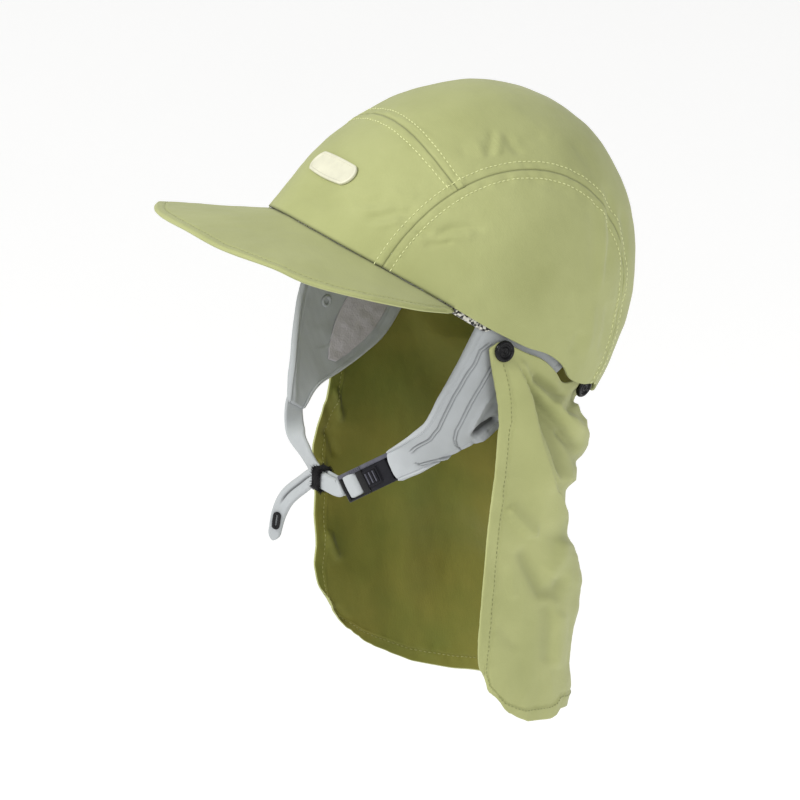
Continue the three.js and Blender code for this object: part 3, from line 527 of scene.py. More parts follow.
def shell_piece(name, outer, inner, materials, ring=False, roundness=0.45, shade=None):
    points, faces, parts, origin = shell(outer, inner, ring, roundness)
    flat = flat_places(outer).reshape(-1, 2)[origin]
    if shade is not None:
        shade = np.broadcast_to(shade, outer.shape[:2]).ravel()[origin]
    return mesh_piece(name, points, faces, materials, parts, flat, shade)


def finished(piece, slot, *nodes):
    """Puts a piece on the cap's one body, in the place of the plain nodes it stands for."""
    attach(piece, "root")
    if nodes:
        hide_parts(*nodes)
    return piece


# Materials


def add_node(tree, kind, settings=None, **links):
    """Adds a node. A link is a socket, or a value for an input by its name, with spaces as underscores."""
    node = tree.nodes.new(kind)
    for key, value in (settings or {}).items():
        setattr(node, key, value)
    for key, value in links.items():
        name = key.replace("_", " ")
        socket = node.inputs[int(name.split()[1])] if name.startswith("input ") else node.inputs[name]
        if isinstance(value, bpy.types.NodeSocket):
            tree.links.new(value, socket)
        else:
            socket.default_value = value
    return node


def new_material(name, **surface):
    """A material with values set on its principled shader: it, its tree and shader, and the place on the piece."""
    material = bpy.data.materials.new(name)
    material.use_nodes = True
    tree = material.node_tree
    shader = tree.nodes["Principled BSDF"]
    for key, value in surface.items():
        shader.inputs[key.replace("_", " ")].default_value = value
    return material, tree, shader, add_node(tree, "ShaderNodeTexCoord").outputs["Object"]


def tone(tree, light, dark, coordinates, patch_mm, contrast=0.5):
    """A colour that wanders between two tones in soft patches."""
    noise = add_node(
        tree, "ShaderNodeTexNoise", Vector=coordinates, Scale=1 / (patch_mm * MM), Detail=3.0, Roughness=0.55
    )
    limits = {"From_Min": 0.5 - contrast / 2, "From_Max": 0.5 + contrast / 2}
    spread = add_node(tree, "ShaderNodeMapRange", Value=noise.outputs["Fac"], **limits)
    tones = {"input_6": (*light, 1), "input_7": (*dark, 1)}
    return add_node(tree, "ShaderNodeMix", {"data_type": "RGBA"}, Factor=spread.outputs["Result"], **tones).outputs[2]


def shaded(tree, base, depth):
    """The colour with painted shade: darker by up to depth where the piece's own shade attribute says so."""
    shade = add_node(tree, "ShaderNodeAttribute", {"attribute_name": "shade"}).outputs["Fac"]
    share = add_node(tree, "ShaderNodeMath", {"operation": "MULTIPLY"}, input_0=shade, input_1=depth)
    tones = {"input_6": base, "input_7": (0.006, 0.006, 0.006, 1)}
    return add_node(tree, "ShaderNodeMix", {"data_type": "RGBA"}, Factor=share.outputs[0], **tones).outputs[2]


def weave_height(tree, thread_mm):
    """The height of a plain weave on the piece's own flat cloth."""
    flat = add_node(tree, "ShaderNodeTexCoord").outputs["UV"]
    across, down = (
        add_node(
            tree,
            "ShaderNodeTexWave",
            {"bands_direction": direction},
            Vector=flat,
            Scale=math.pi / (10 * thread_mm * MM),
            Distortion=0.4,
            Detail=1.0,
        ).outputs["Fac"]
        for direction in ("X", "Y")
    )
    weave = add_node(tree, "ShaderNodeMath", {"operation": "MULTIPLY"}, input_0=across, input_1=down)
    return weave.outputs[0]


def bumped(tree, shader, place, layers):
    """Bumps with depths in millimetres, the coarsest first.

    A layer's height is a socket, or a noise by the size of its grain in millimetres and its detail.
    """
    normal = None
    for height, depth_mm in layers:
        if isinstance(height, tuple):
            grain_mm, detail = height
            scale = 1 / (grain_mm * MM)
            noise = add_node(tree, "ShaderNodeTexNoise", Vector=place, Scale=scale, Detail=detail)
            height = noise.outputs["Fac"]
        bump = add_node(tree, "ShaderNodeBump", Height=height, Distance=depth_mm * MM, Strength=1.0)
        if normal:
            tree.links.new(normal, bump.inputs["Normal"])
        normal = bump.outputs["Normal"]
    tree.links.new(normal, shader.inputs["Normal"])


def woven_cloth(name, light, dark):
    """Light woven nylon: matt, with a faint sheen from its filaments and small crinkles from wear.

    Its threads are about 0.3 mm apart, too fine to show, so they are drawn 0.9 mm apart.
    """
    material, tree, shader, place = new_material(
        name, Roughness=0.8, Sheen_Weight=0.12, Sheen_Roughness=0.5, IOR=1.53, Specular_IOR_Level=0.3
    )
    # Painted shade from the shade attribute darkens the cloth by up to 0.6.
    tree.links.new(shaded(tree, tone(tree, light, dark, place, 45), 0.6), shader.inputs["Base Color"])
    bumped(tree, shader, place, [((9, 3.0), 0.35), ((1.6, 3.0), 0.06), (weave_height(tree, 0.9), 0.03)])
    return material


def stretch_cloth():
    """Warp-knitted polyester with elastane: smooth and matt, its loops about 0.4 mm, drawn at 0.8 mm."""
    material, tree, shader, place = new_material(
        "knitted_stretch_polyester",
        Roughness=0.72,
        Sheen_Weight=0.2,
        Sheen_Roughness=0.45,
        IOR=1.53,
        Specular_IOR_Level=0.3,
    )
    base = colours().stretch_cloth
    darker = [c * 0.88 for c in base]
    # Painted shade from the shade attribute darkens the cloth by up to 0.9.
    tree.links.new(shaded(tree, tone(tree, base, darker, place, 30), 0.9), shader.inputs["Base Color"])
    bumped(tree, shader, place, [((5, 3.0), 0.12), ((0.8, 1.0), 0.05)])
    return material


def mesh_cloth():
    """Thin warp-knit mesh: small dark holes between its threads, 1 mm apart, which give it a grey grain."""
    material, tree, shader, place = new_material("warp_knit_mesh", Roughness=0.85, Sheen_Weight=0.1, IOR=1.53)
    cells = add_node(tree, "ShaderNodeTexVoronoi", Vector=place, Scale=1 / (1.0 * MM))
    holes = add_node(tree, "ShaderNodeMapRange", Value=cells.outputs["Distance"], From_Min=0.1, From_Max=0.55)
    base = colours().mesh_cloth
    tones = {"input_6": (*[c * 0.93 for c in base], 1), "input_7": (*base, 1)}
    blend = add_node(tree, "ShaderNodeMix", {"data_type": "RGBA"}, Factor=holes.outputs["Result"], **tones)
    tree.links.new(blend.outputs[2], shader.inputs["Base Color"])
    bumped(tree, shader, place, [((4, 3.0), 0.3), (cells.outputs["Distance"], 0.1)])
    return material


def speckled_knit():
    """Towelling knit of black and white yarns, which shows as a salt and pepper speckle of about 1 mm."""
    material, tree, shader, place = new_material(
        "speckled_towelling_knit", Roughness=0.95, Sheen_Weight=0.3, IOR=1.53
    )
    cells = add_node(tree, "ShaderNodeTexVoronoi", Vector=place, Scale=1 / (1.1 * MM))
    pick = add_node(tree, "ShaderNodeSeparateColor", Color=cells.outputs["Color"])
    choice = add_node(tree, "ShaderNodeMapRange", Value=pick.outputs[0], From_Min=0.42, From_Max=0.58)
    tones = {"input_6": (*linear("#1d1c1b"), 1), "input_7": (*linear("#c9c7bd"), 1)}
    blend = add_node(tree, "ShaderNodeMix", {"data_type": "RGBA"}, Factor=choice.outputs["Result"], **tones)
    tree.links.new(blend.outputs[2], shader.inputs["Base Color"])
    bumped(tree, shader, place, [(cells.outputs["Distance"], 0.35)])
    return material


def sewing_thread(name, base):
    """Spun polyester thread: matt, a little lighter and yellower than the cloth."""
    material, tree, shader, place = new_material(name, Roughness=0.65, Sheen_Weight=0.2, IOR=1.53)
    tree.links.new(tone(tree, base, [c * 0.8 for c in base], place, 3), shader.inputs["Base Color"])
    return material


def moulded_plastic(name, base, roughness, grain_depth_mm, gloss=0.1):
    """Moulded acetal: dense and slightly waxy, with a fine grain from its mould and dull scuffed places."""
    material, tree, shader, place = new_material(name, IOR=1.48, Specular_IOR_Level=gloss)
    tree.links.new(tone(tree, base, [c * 1.4 + 0.001 for c in base], place, 4), shader.inputs["Base Color"])
    noise = add_node(tree, "ShaderNodeTexNoise", Vector=place, Scale=1 / (2.5 * MM), Detail=3.0)
    limits = {"To_Min": roughness - 0.1, "To_Max": roughness + 0.15}
    scuffs = add_node(tree, "ShaderNodeMapRange", Value=noise.outputs["Fac"], **limits)
    tree.links.new(scuffs.outputs["Result"], shader.inputs["Roughness"])
    bumped(tree, shader, place, [((0.5, 3.0), grain_depth_mm)])
    return material


def badge_rubber():
    """Moulded soft PVC: matt cream with a faint grain and slightly grubby tone."""
    material, tree, shader, place = new_material("moulded_soft_pvc", Roughness=0.55, IOR=1.52)
    base = colours().badge
    tree.links.new(tone(tree, base, [c * 0.86 for c in base], place, 8), shader.inputs["Base Color"])
    bumped(tree, shader, place, [((0.7, 3.0), 0.04)])
    return material


def elastic_band():
    """Woven elastic with a brushed face: black, ribbed across and fuzzy at its edges."""
    material, tree, shader, place = new_material(
        "brushed_woven_elastic", Roughness=0.95, Sheen_Weight=0.04, IOR=1.53, Specular_IOR_Level=0.15
    )
    base = colours().elastic
    tree.links.new(tone(tree, base, [c * 1.8 + 0.002 for c in base], place, 1.2), shader.inputs["Base Color"])
    bumped(tree, shader, place, [((0.8, 3.0), 0.4)])
    return material


def pale_paint():
    """Matt white emulsion on a studio floor that is lit a little from below, as a light table is."""
    material, tree, shader, place = new_material("matt_white_emulsion", Roughness=0.95, IOR=1.5)
    tree.links.new(tone(tree, linear("#f4f4f3"), linear("#f1f1f0"), place, 900), shader.inputs["Base Color"])
    shader.inputs["Emission Color"].default_value = (1, 1, 1, 1)
    shader.inputs["Emission Strength"].default_value = 0.3
    return material


FINISHES = {
    "crown_nylon": lambda: woven_cloth("woven_nylon_crown", colours().crown_cloth, colours().crown_shade),
    "flap_nylon": lambda: woven_cloth("woven_nylon_flap", colours().flap_cloth, colours().crown_shade),
    # The flap's inside: a darker copy of the flap cloth, painted shade.
    "flap_inside_painted_shade_nylon": lambda: woven_cloth(
        "woven_nylon_flap_inside_painted_shade", colours().flap_inside, colours().flap_inside_green
    ),
    "stretch": stretch_cloth,
    "mesh": mesh_cloth,
    "speckled": speckled_knit,
    "thread": lambda: sewing_thread("spun_polyester_thread", colours().thread),
    # Darker thread for the flap's inside: painted shade.
    "thread_inside_painted_shade": lambda: sewing_thread("spun_polyester_thread_inside", colours().thread_inside_painted_shade),
    "thread_cloth": lambda: sewing_thread("spun_polyester_thread_cloth_colour", colours().crown_cloth),
    "thread_flap": lambda: sewing_thread("spun_polyester_thread_olive", linear("#858a50")),
    "black": lambda: moulded_plastic("moulded_acetal_black", colours().black_plastic, 0.22, 0.01, 0.25),
    # A lighter copy of the buckle's plastic: painted light on the lit top rail and ribs.
    "rail": lambda: moulded_plastic("moulded_acetal_rail_painted_light", linear("#4a4a52"), 0.3, 0.01),
    "slate": lambda: moulded_plastic("moulded_acetal_slate", colours().slate_plastic, 0.42, 0.02),
    "rubber": badge_rubber,
    "elastic": elastic_band,
    "floor": pale_paint,
}
made_finishes = {}


def finish(name):
    """The material of a finish, made when it is first asked for."""
    if name not in made_finishes:
        made_finishes[name] = FINISHES[name]()
    return made_finishes[name]


# Stitches


def stitch_tree():
    """Geometry Nodes that lay stitches of thread along the edges of a mesh."""
    tree = bpy.data.node_groups.new("stitches along lines", "GeometryNodeTree")
    interface = tree.interface
    interface.new_socket("Lines", in_out="INPUT", socket_type="NodeSocketGeometry")
    for name in ("Spacing", "Stitch length", "Thread radius"):
        interface.new_socket(name, in_out="INPUT", socket_type="NodeSocketFloat")
    interface.new_socket("Thread", in_out="INPUT", socket_type="NodeSocketMaterial")
    interface.new_socket("Stitches", in_out="OUTPUT", socket_type="NodeSocketGeometry")
    given = add_node(tree, "NodeGroupInput")
    curve = add_node(tree, "GeometryNodeMeshToCurve", Mesh=given.outputs["Lines"])
    places_on = add_node(
        tree,
        "GeometryNodeResampleCurve",
        {"mode": "LENGTH"},
        Curve=curve.outputs["Curve"],
        Length=given.outputs["Spacing"],
    )
    ball = add_node(tree, "GeometryNodeMeshUVSphere", Segments=6, Rings=4)
    ball.inputs["Radius"].default_value = 1.0
    half = add_node(
        tree, "ShaderNodeMath", {"operation": "MULTIPLY"}, input_0=given.outputs["Stitch length"], input_1=0.5
    )
    shape = add_node(
        tree,
        "ShaderNodeCombineXYZ",
        X=given.outputs["Thread radius"],
        Y=given.outputs["Thread radius"],
        Z=half.outputs[0],
    )
    along = add_node(tree, "GeometryNodeInputTangent")
    turn = add_node(
        tree, "FunctionNodeAlignRotationToVector", {"axis": "Z"}, Vector=along.outputs["Tangent"]
    )
    laid = add_node(
        tree,
        "GeometryNodeInstanceOnPoints",
        Points=places_on.outputs["Curve"],
        Instance=ball.outputs["Mesh"],
        Rotation=turn.outputs["Rotation"],
        Scale=shape.outputs["Vector"],
    )
    tilt = add_node(tree, "FunctionNodeRandomValue", {"data_type": "FLOAT_VECTOR"}, Seed=7)
    tilt.inputs[0].default_value = (-0.08, -0.08, 0)
    tilt.inputs[1].default_value = (0.08, 0.08, 0)
    loosened = add_node(
        tree, "GeometryNodeRotateInstances", Instances=laid.outputs["Instances"], Rotation=tilt.outputs[0]
    )
    real = add_node(tree, "GeometryNodeRealizeInstances", Geometry=loosened.outputs["Instances"])
    smooth_faces = add_node(tree, "GeometryNodeSetShadeSmooth", Geometry=real.outputs["Geometry"])
    coloured = add_node(
        tree,
        "GeometryNodeSetMaterial",
        Geometry=smooth_faces.outputs["Geometry"],
        Material=given.outputs["Thread"],
    )
    add_node(tree, "NodeGroupOutput", Stitches=coloured.outputs["Geometry"])
    return tree


def sewn(name, lines, thread="thread", radius=None, spacing=None, stitch=None):
    """A mesh of stitches along lines of points in millimetres."""
    lines = [line for line in lines if len(line) > 1]
    starts = np.cumsum([0] + [len(line) for line in lines])
    edges = [(s + i, s + i + 1) for s, line in zip(starts, lines) for i in range(len(line) - 1)]
    mesh = bpy.data.meshes.new(name)
    mesh.from_pydata((np.concatenate(lines) * MM).tolist(), edges, [])
    holder = linked(name, mesh)
    tree = bpy.data.node_groups.get("stitches along lines") or stitch_tree()
    modifier = holder.modifiers.new("stitches", "NODES")
    modifier.node_group = tree
    values = {
        "Spacing": spacing or sizes().stitch_spacing,
        "Stitch length": stitch or sizes().stitch_length,
        "Thread radius": radius or sizes().thread_radius,
        "Thread": finish(thread),
    }
    for socket in tree.interface.items_tree:
        if socket.in_out == "INPUT" and socket.name in values:
            modifier[socket.identifier] = values[socket.name]
    evaluated = holder.evaluated_get(bpy.context.evaluated_depsgraph_get())
    made = bpy.data.meshes.new_from_object(evaluated)
    holder.modifiers.clear()
    holder.data = made
    bpy.data.meshes.remove(mesh)
    made.name = name
    if not made.polygons:
        raise RuntimeError(f"no stitches were made for {name}")
    return holder


def across_line(grid, amount, value):
    """Where an amount that changes across a grid reaches a value, one point for each row that it does."""
    line = []
    for row in range(grid.shape[0]):
        crossing = np.nonzero(np.diff(np.sign(amount[row] - value)))[0]
        if len(crossing):
            k = crossing[0]
            a, b = amount[row, k], amount[row, k + 1]
            line.append(mix(grid[row, k], grid[row, k + 1], (value - a) / (b - a)))
    return np.array(line)


# Crown


# Wrinkles of the crown: pixels of the photograph, widths in pixels on each hand, height in millimetres
CROWN_WRINKLES = (
    ([(493, 128), (491, 142), (486, 158)], 3, 4, -0.9),
    ([(500, 130), (499, 144), (497, 158)], 3, 3, 0.8),
    ([(506, 134), (512, 146), (522, 156)], 3, 4, -0.6),
    ([(518, 146), (534, 139), (546, 136)], 3, 4, -0.45),
    ([(474, 138), (480, 150), (484, 160)], 4, 4, 0.5),
    ([(459, 143), (466, 156)], 4, 4, -0.4),
    ([(350, 203), (370, 202), (388, 197)], 4, 5, -0.7),
    ([(358, 210), (378, 211), (396, 206)], 4, 3, 0.6),
    ([(362, 220), (380, 216), (397, 212), (418, 218)], 4, 4, -0.9),
    ([(368, 226), (386, 224), (404, 220)], 4, 3, 0.6),
    ([(400, 226), (416, 230), (434, 235)], 3, 4, -0.7),
    ([(434, 235), (452, 229), (470, 227), (488, 232)], 3, 5, -0.8),
    ([(436, 240), (456, 236), (478, 236)], 5, 3, 0.6),
    ([(422, 245), (438, 245), (456, 241)], 3, 4, -0.6),
    ([(404, 206), (416, 214), (430, 214)], 4, 4, -0.5),
    ([(388, 190), (404, 197), (420, 195)], 4, 4, 0.45),
    ([(334, 196), (344, 203), (352, 214)], 4, 4, -0.4),
    ([(604, 182), (610, 208), (611, 240), (606, 280)], 3, 5, -0.9),
    ([(598, 190), (603, 220), (603, 250), (598, 300)], 4, 3, 0.8),
    ([(621, 205), (625, 235), (625, 270)], 3, 3, -0.8),
    ([(590, 200), (594, 235), (592, 280)], 5, 6, -0.5),
    ([(608, 300), (605, 330), (598, 356)], 3, 5, -0.6),
    ([(594, 300), (590, 336), (584, 360)], 5, 4, 0.6),
    ([(580, 330), (572, 355)], 4, 5, -0.5),
    ([(300, 190), (322, 202), (345, 208)], 6, 8, -0.45),
    ([(520, 178), (548, 184), (575, 198)], 5, 8, -0.4),
    ([(572, 140), (588, 160), (598, 184)], 6, 6, -0.5),
)


def crown_relief(direction, seam_distances):
    """How far the crown's cloth stands out, in millimetres: wrinkles, seams, topstitching and crumple."""
    level = dome_point(direction, np.zeros(direction.shape[:2]))
    place = worn(level)
    pixels = seen(place)
    facing = worn(dome_facing(direction)) @ VIEW_BACK
    relief = np.zeros(direction.shape[:2])
    for path, left, right, height in CROWN_WRINKLES:
        relief += crease(pixels, path, left, right, 1.5 * height)
    relief *= smooth(facing, -0.1, 0.15)
    relief += sizes().cloth_crumple / MM * crumple(level, 45, 3)
    relief += 0.5 * crumple(level * np.array([1, 0.6, 1]), 30, 11) * smooth(-facing, -0.2, 0.2)
    stitch = sizes().seam_to_stitch / MM
    for away in seam_distances:
        pucker = crumple(level, 9, 5, 2)
        relief -= 0.55 * np.exp(-((away / 0.7) ** 2))
        relief += (0.22 + 0.22 * pucker) * (1 - smooth(away, stitch, stitch + 1.5))
        relief -= (0.3 + 0.12 * pucker) * np.exp(-(((away - stitch) / 0.75) ** 2))
        relief += 0.25 * pucker * np.exp(-(((away - stitch) / 3.5) ** 2))
    return relief


class PanelGrid:
    """One panel of the crown: directions on the dome and distances from its seams."""

    def __init__(self, direction, distances):
        self.direction = direction
        self.distances = distances
        self.relief = crown_relief(direction, distances)
        self.outer = worn(dome_point(direction, -self.relief))
        self.normals = worn(dome_facing(direction))

    def inner(self):
        return worn(dome_point(self.direction, np.full(self.relief.shape, CROWN_WALL)))

    def shade(self):
        """The shadowed lines of the seams and of the rim over the peak."""
        dark = sum(0.55 * np.exp(-((away / 0.5) ** 2)) for away in self.distances)
        turn = np.degrees(np.arctan2(np.abs(self.direction[..., 0]), -self.direction[..., 1]))
        rim = np.exp(-((self.direction[..., 2] * CROWN_HEIGHT / 0.8) ** 2)) * (turn < PEAK_WRAP)
        return np.clip(dark + 0.9 * rim, 0, 1)


SEAM_SHARE = SIDE_SEAM / HALF_WIDTH


def side_seam_distance(share):
    """Millimetres on the dome from a share of the half width to the side seam."""
    return np.abs(np.arcsin(SEAM_SHARE) - np.arcsin(np.abs(share))) * (HALF_WIDTH + CROWN_HEIGHT) / 2 * 1.06


def front_grid():
    share = mix(-SEAM_SHARE, SEAM_SHARE, places(130, 0.5, 1.8, 9))[None, :]
    top = front_seam_angle(share)
    down = places(75, 0.5, 1.8, 9)[:, None]
    angle = top * down
    direction = arch_direction(share * np.ones_like(angle), angle)
    front = (top - angle) * HALF_LENGTH * 1.06
    return PanelGrid(direction, [side_seam_distance(share) * np.ones_like(angle), front])


def top_grid():
    share = mix(-SEAM_SHARE, SEAM_SHARE, places(130, 0.5, 1.9, 9))[None, :]
    start = front_seam_angle(share)
    down = places(250, 0.5, 2.1, 9)[:, None]
    angle = mix(start, math.pi, down)
    direction = arch_direction(share * np.ones_like(angle), angle)
    front = (angle - start) * HALF_LENGTH * 1.06
    return PanelGrid(direction, [side_seam_distance(share) * np.ones_like(angle), front])


def side_grid(side):
    across = places(300, 1.2, 1.7, 6)[None, :]
    down = places(100, 0.5, 1.7, 9)[:, None]
    seam = arch_direction(np.array(SEAM_SHARE), math.pi * across)
    end = math.acos(SEAM_SHARE)
    turn = mix(-end, end, across)
    rim = joined(np.cos(turn), np.sin(turn), np.zeros_like(turn))
    direction = unit(mix(seam, rim, down[..., None]))
    direction = direction * np.array([side, 1, 1])
    return PanelGrid(direction, [side_seam_distance(direction[..., 0])])


# How far the middle of a thread lies over the cloth, in millimetres
THREAD_LIFT = 0.12


def build_crown():
    panels = {
        "crown_front_panel": front_grid(),
        "crown_top_panel": top_grid(),
        "crown_side_panel_left": side_grid(1),
        "crown_side_panel_right": side_grid(-1),
    }
    cloth = finish("crown_nylon")
    for node, panel in panels.items():
        walls = (panel.outer, panel.inner())
        piece = shell_piece(f"{node}_cloth", *walls, [cloth], roundness=0.1, shade=panel.shade())
        finished(piece, "green_cloth", node)
    lines = []
    away = sizes().seam_to_stitch / MM
    for node in ("crown_front_panel", "crown_top_panel"):
        panel = panels[node]
        lifted = panel.outer + panel.normals * THREAD_LIFT
        side, front = panel.distances
        inside = across_line(lifted.transpose(1, 0, 2), front.T, away)
        keep = across_line(joined(side, side, side).transpose(1, 0, 2), front.T, away)[:, 0] > away
        lines.append(inside[keep])
        half = side.shape[1] // 2
        beyond = front[:, half] > 0
        for grid, amount in ((lifted[:, :half], side[:, :half]), (lifted[:, half:], side[:, half:])):
            line = across_line(grid, amount, away)
            lines.append(line[beyond] if len(line) == len(beyond) else line)
    for node in ("crown_side_panel_left", "crown_side_panel_right"):
        panel = panels[node]
        lifted = panel.outer + panel.normals * THREAD_LIFT
        lines.append(across_line(lifted.transpose(1, 0, 2), panel.distances[0].T, away))
    finished(sewn("crown_topstitching", lines), "green_cloth")


# Peak


def peak_point(across, out):
    wrap, side = np.abs(across), np.sign(across)
    place = dome_point(rim_direction(wrap * PEAK_WRAP, side), np.full(np.shape(wrap), CROWN_WALL))
    reach = PEAK_LENGTH * out
    ahead = read(PEAK_EDGE, "wrap", "ahead", wrap)
    aside = side * read(PEAK_EDGE, "wrap", "aside", wrap)
    drop = read(PEAK_EDGE, "wrap", "drop", wrap)
    return worn(place + joined(reach * aside, -reach * ahead, -reach * drop - GAP))


PEAK_THREAD_LIFT = 0.15
PEAK_THREAD_RADIUS = 0.22


def build_peak():
    across = np.linspace(-1, 1, 221)[None, :]
    out = places(PEAK_LENGTH, 0.45, 1.6, 8)[:, None]
    across, out = np.broadcast_arrays(across, out)
    upper = peak_point(across, out)
    edge_gap = np.linalg.norm(upper - upper[-1:], axis=-1)
    normals = grid_normals(upper)
    normals *= np.sign(normals[..., 2:3])
    hem = sizes().peak_hem / MM
    from_stitches = edge_gap - hem
    relief = -0.35 * np.exp(-((from_stitches / 0.7) ** 2))
    relief += 0.15 * crumple(upper, 14, 21, 2) * np.exp(-((from_stitches / 5) ** 2))
    relief += 0.3 * crumple(upper, 40, 23)
    rounding = np.clip(1 - edge_gap / 1.4, 0, 1)
    relief -= PEAK_WALL * 0.35 * rounding**2
    top = upper + normals * relief[..., None]
    bottom = upper - np.array([0, 0, PEAK_WALL]) + normals * (PEAK_WALL * 0.35 * rounding**2)[..., None]
    # Painted shade along the peak's root, where it meets the crown.
    root = np.exp(-((np.linalg.norm(upper - upper[:1], axis=-1) / 1.3) ** 2))
    piece = shell_piece("peak_cloth", top, bottom, [finish("crown_nylon")], shade=root)
    finished(piece, "green_cloth", "peak")
    line = across_line(top.transpose(1, 0, 2), edge_gap.T, hem) + np.array([0, 0, PEAK_THREAD_LIFT])
    finished(sewn("peak_topstitching", [line], "thread_cloth", PEAK_THREAD_RADIUS * MM), "green_cloth")


# Badge


def badge_direction(across, up_mm):
    share = (across + BADGE_ASIDE) / HALF_WIDTH
    up = (BADGE_HEIGHT + up_mm) / CROWN_HEIGHT
    return joined(share, -np.sqrt(1 - share**2 - up**2), up)


def stadium(radius_share, angle):
    """A point of the badge's outline, drawn in towards its middle line by a share."""
    end = BADGE_WIDTH / 2
    straight = BADGE_LENGTH / 2 - end
    x = np.clip(np.cos(angle) * (straight + end) * 1.6, -straight, straight)
    return x + end * radius_share * np.cos(angle), end * radius_share * np.sin(angle)


def build_badge():
    angle = np.linspace(0, 2 * math.pi, 161)[:-1][None, :]
    share = np.array([0.02, 0.3, 0.6, 0.7, 0.735, 0.77, 0.8, 0.86, 0.93, 0.975, 1.0, 1.0])[:, None]
    height = np.array([0.95, 0.95, 0.95, 0.95, 1.0, 1.35, 1.5, 1.5, 1.45, 1.3, 1.0, 0.1])[:, None]
    angle, share, height = np.broadcast_arrays(angle, share, height)
    x, y = stadium(share, angle)
    direction = badge_direction(x, y)
    outer = worn(dome_point(direction, -GAP - height * BADGE_THICKNESS / 1.5))
    inner = worn(dome_point(direction, np.full(height.shape, -GAP * 0.5)))
    surface = np.concatenate([outer, inner[::-1]])
    piece = mesh_piece("front_badge_rubber", surface.reshape(-1, 3), ring_quads(surface), [finish("rubber")])
    close_rings(piece)
    finished(piece, "cream_rubber", "front_badge")


def close_rings(piece):
    """Fills the small hole that a ring of faces leaves in its middle."""
    mesh = bmesh.new()
    mesh.from_mesh(piece.data)
    bmesh.ops.remove_doubles(mesh, verts=mesh.verts, dist=1e-7)
    edges = [e for e in mesh.edges if e.is_boundary]
    if edges:
        bmesh.ops.holes_fill(mesh, edges=edges, sides=0)
    bmesh.ops.recalc_face_normals(mesh, faces=mesh.faces)
    for face in mesh.faces:
        face.smooth = True
    mesh.to_mesh(piece.data)
    mesh.free()


# Sweatband


def build_sweatband():
    around = np.linspace(-1, 1, 481)[:-1][None, :]
    up = np.linspace(0, 1, 24)[:, None]
    around, up = np.broadcast_arrays(around, up)
    turn, side = 180 * np.abs(around), np.where(around < 0, -1, 1)
    lift = SWEATBAND_NAPE_LIFT * smooth(turn, 96, 116)
    peek = SWEATBAND_PEEK * smooth(turn, 60, 65) * (1 - smooth(turn, 80, 86))
    hidden = 5 * (1 - peek / SWEATBAND_PEEK) * (turn < 100)
    height = mix(lift - peek + hidden, SWEATBAND_RISE, up)
    swell = 0.25 * np.sin(np.pi * up)
    outer = worn(band_point(turn, side, height, SWEATBAND_DEPTH))
    inner = worn(band_point(turn, side, height, SWEATBAND_DEPTH + SWEATBAND_WALL + swell))
    piece = shell_piece("sweatband_knit", outer, inner, [finish("speckled")], ring=True)
    finished(piece, "sweatband_cloth", "sweatband")


# Ear panels


def ear_point(rows, side, across, along):
    back = HALF_LENGTH * mix(read(rows, "along", "front", along), read(rows, "along", "rear", along), across)
    drop = mix(read(rows, "along", "front_drop", along), read(rows, "along", "rear_drop", along), across)
    reach = mix(read(rows, "along", "front_reach", along), read(rows, "along", "rear_reach", along), across)
    widthwise = (HALF_WIDTH - EAR_DEPTH) * np.sqrt(1 - (back / (HALF_LENGTH - EAR_DEPTH)) ** 2)
    return worn(joined(side * widthwise * reach, back, EAR_RISE - (EAR_DROP + EAR_RISE) * drop))


# Sewn channels of the near ear panel, as pixels of the photograph
NEAR_CHANNELS = (
    [
        (491, 344), (481, 351), (475, 364), (465, 379), (455, 397), (446, 414), (439, 429), (430, 440), (415, 449),
        (411, 453),
    ],
    [(416, 464), (421, 465), (445, 459), (465, 452)],
    [
        (493, 366), (489, 373), (482, 386), (472, 402), (464, 418), (457, 431), (455, 440), (457, 447), (462, 451),
    ],
)
NEAR_WRINKLES = (
    ([(496, 392), (485, 403), (476, 420), (469, 438)], 2.5, 2.5, 1.3),
    ([(498, 400), (489, 412), (478, 428)], 3, 3, -0.8),
    ([(496, 430), (484, 438), (474, 444)], 2, 2, 0.9),
    ([(499, 417), (484, 427), (471, 437)], 3.2, 3.2, -3.4),
    ([(478, 441), (482, 446)], 1.5, 1.5, -0.5),
    ([(472, 441), (476, 448)], 1.5, 1.5, -0.5),
    ([(489, 430), (478, 440)], 3, 3, 0.8),
)
FAR_WRINKLES = (
    ([(300, 285), (297, 310), (292, 345), (292, 400), (292, 430)], 3, 3, 0.9),
    ([(368, 298), (357, 318), (346, 332), (334, 342), (322, 348), (311, 351)], 2, 9, 0.8),
    ([(318, 322), (326, 334), (338, 330)], 8, 8, 0.6),
)


def channel(pixels, path, gap):
    """A corded channel between two sewn lines: its relief in millimetres and the painted shade of its sewn valleys.
    """
    cord = crease(pixels, path, gap * 0.55, gap * 0.55, 0.6, taper=0.02)
    valleys = 0
    for shift in (-gap, gap):
        beside = [(x + shift * 0.8, y + shift * 0.45) for x, y in path]
        valleys = valleys + crease(pixels, beside, 0.6, 0.6, 1.0, taper=0.02)
    puff = crease(pixels, path, gap * 3.2, gap * 3.2, 0.5, taper=0.02)
    return cord - 0.55 * valleys - puff * 0.6, valleys


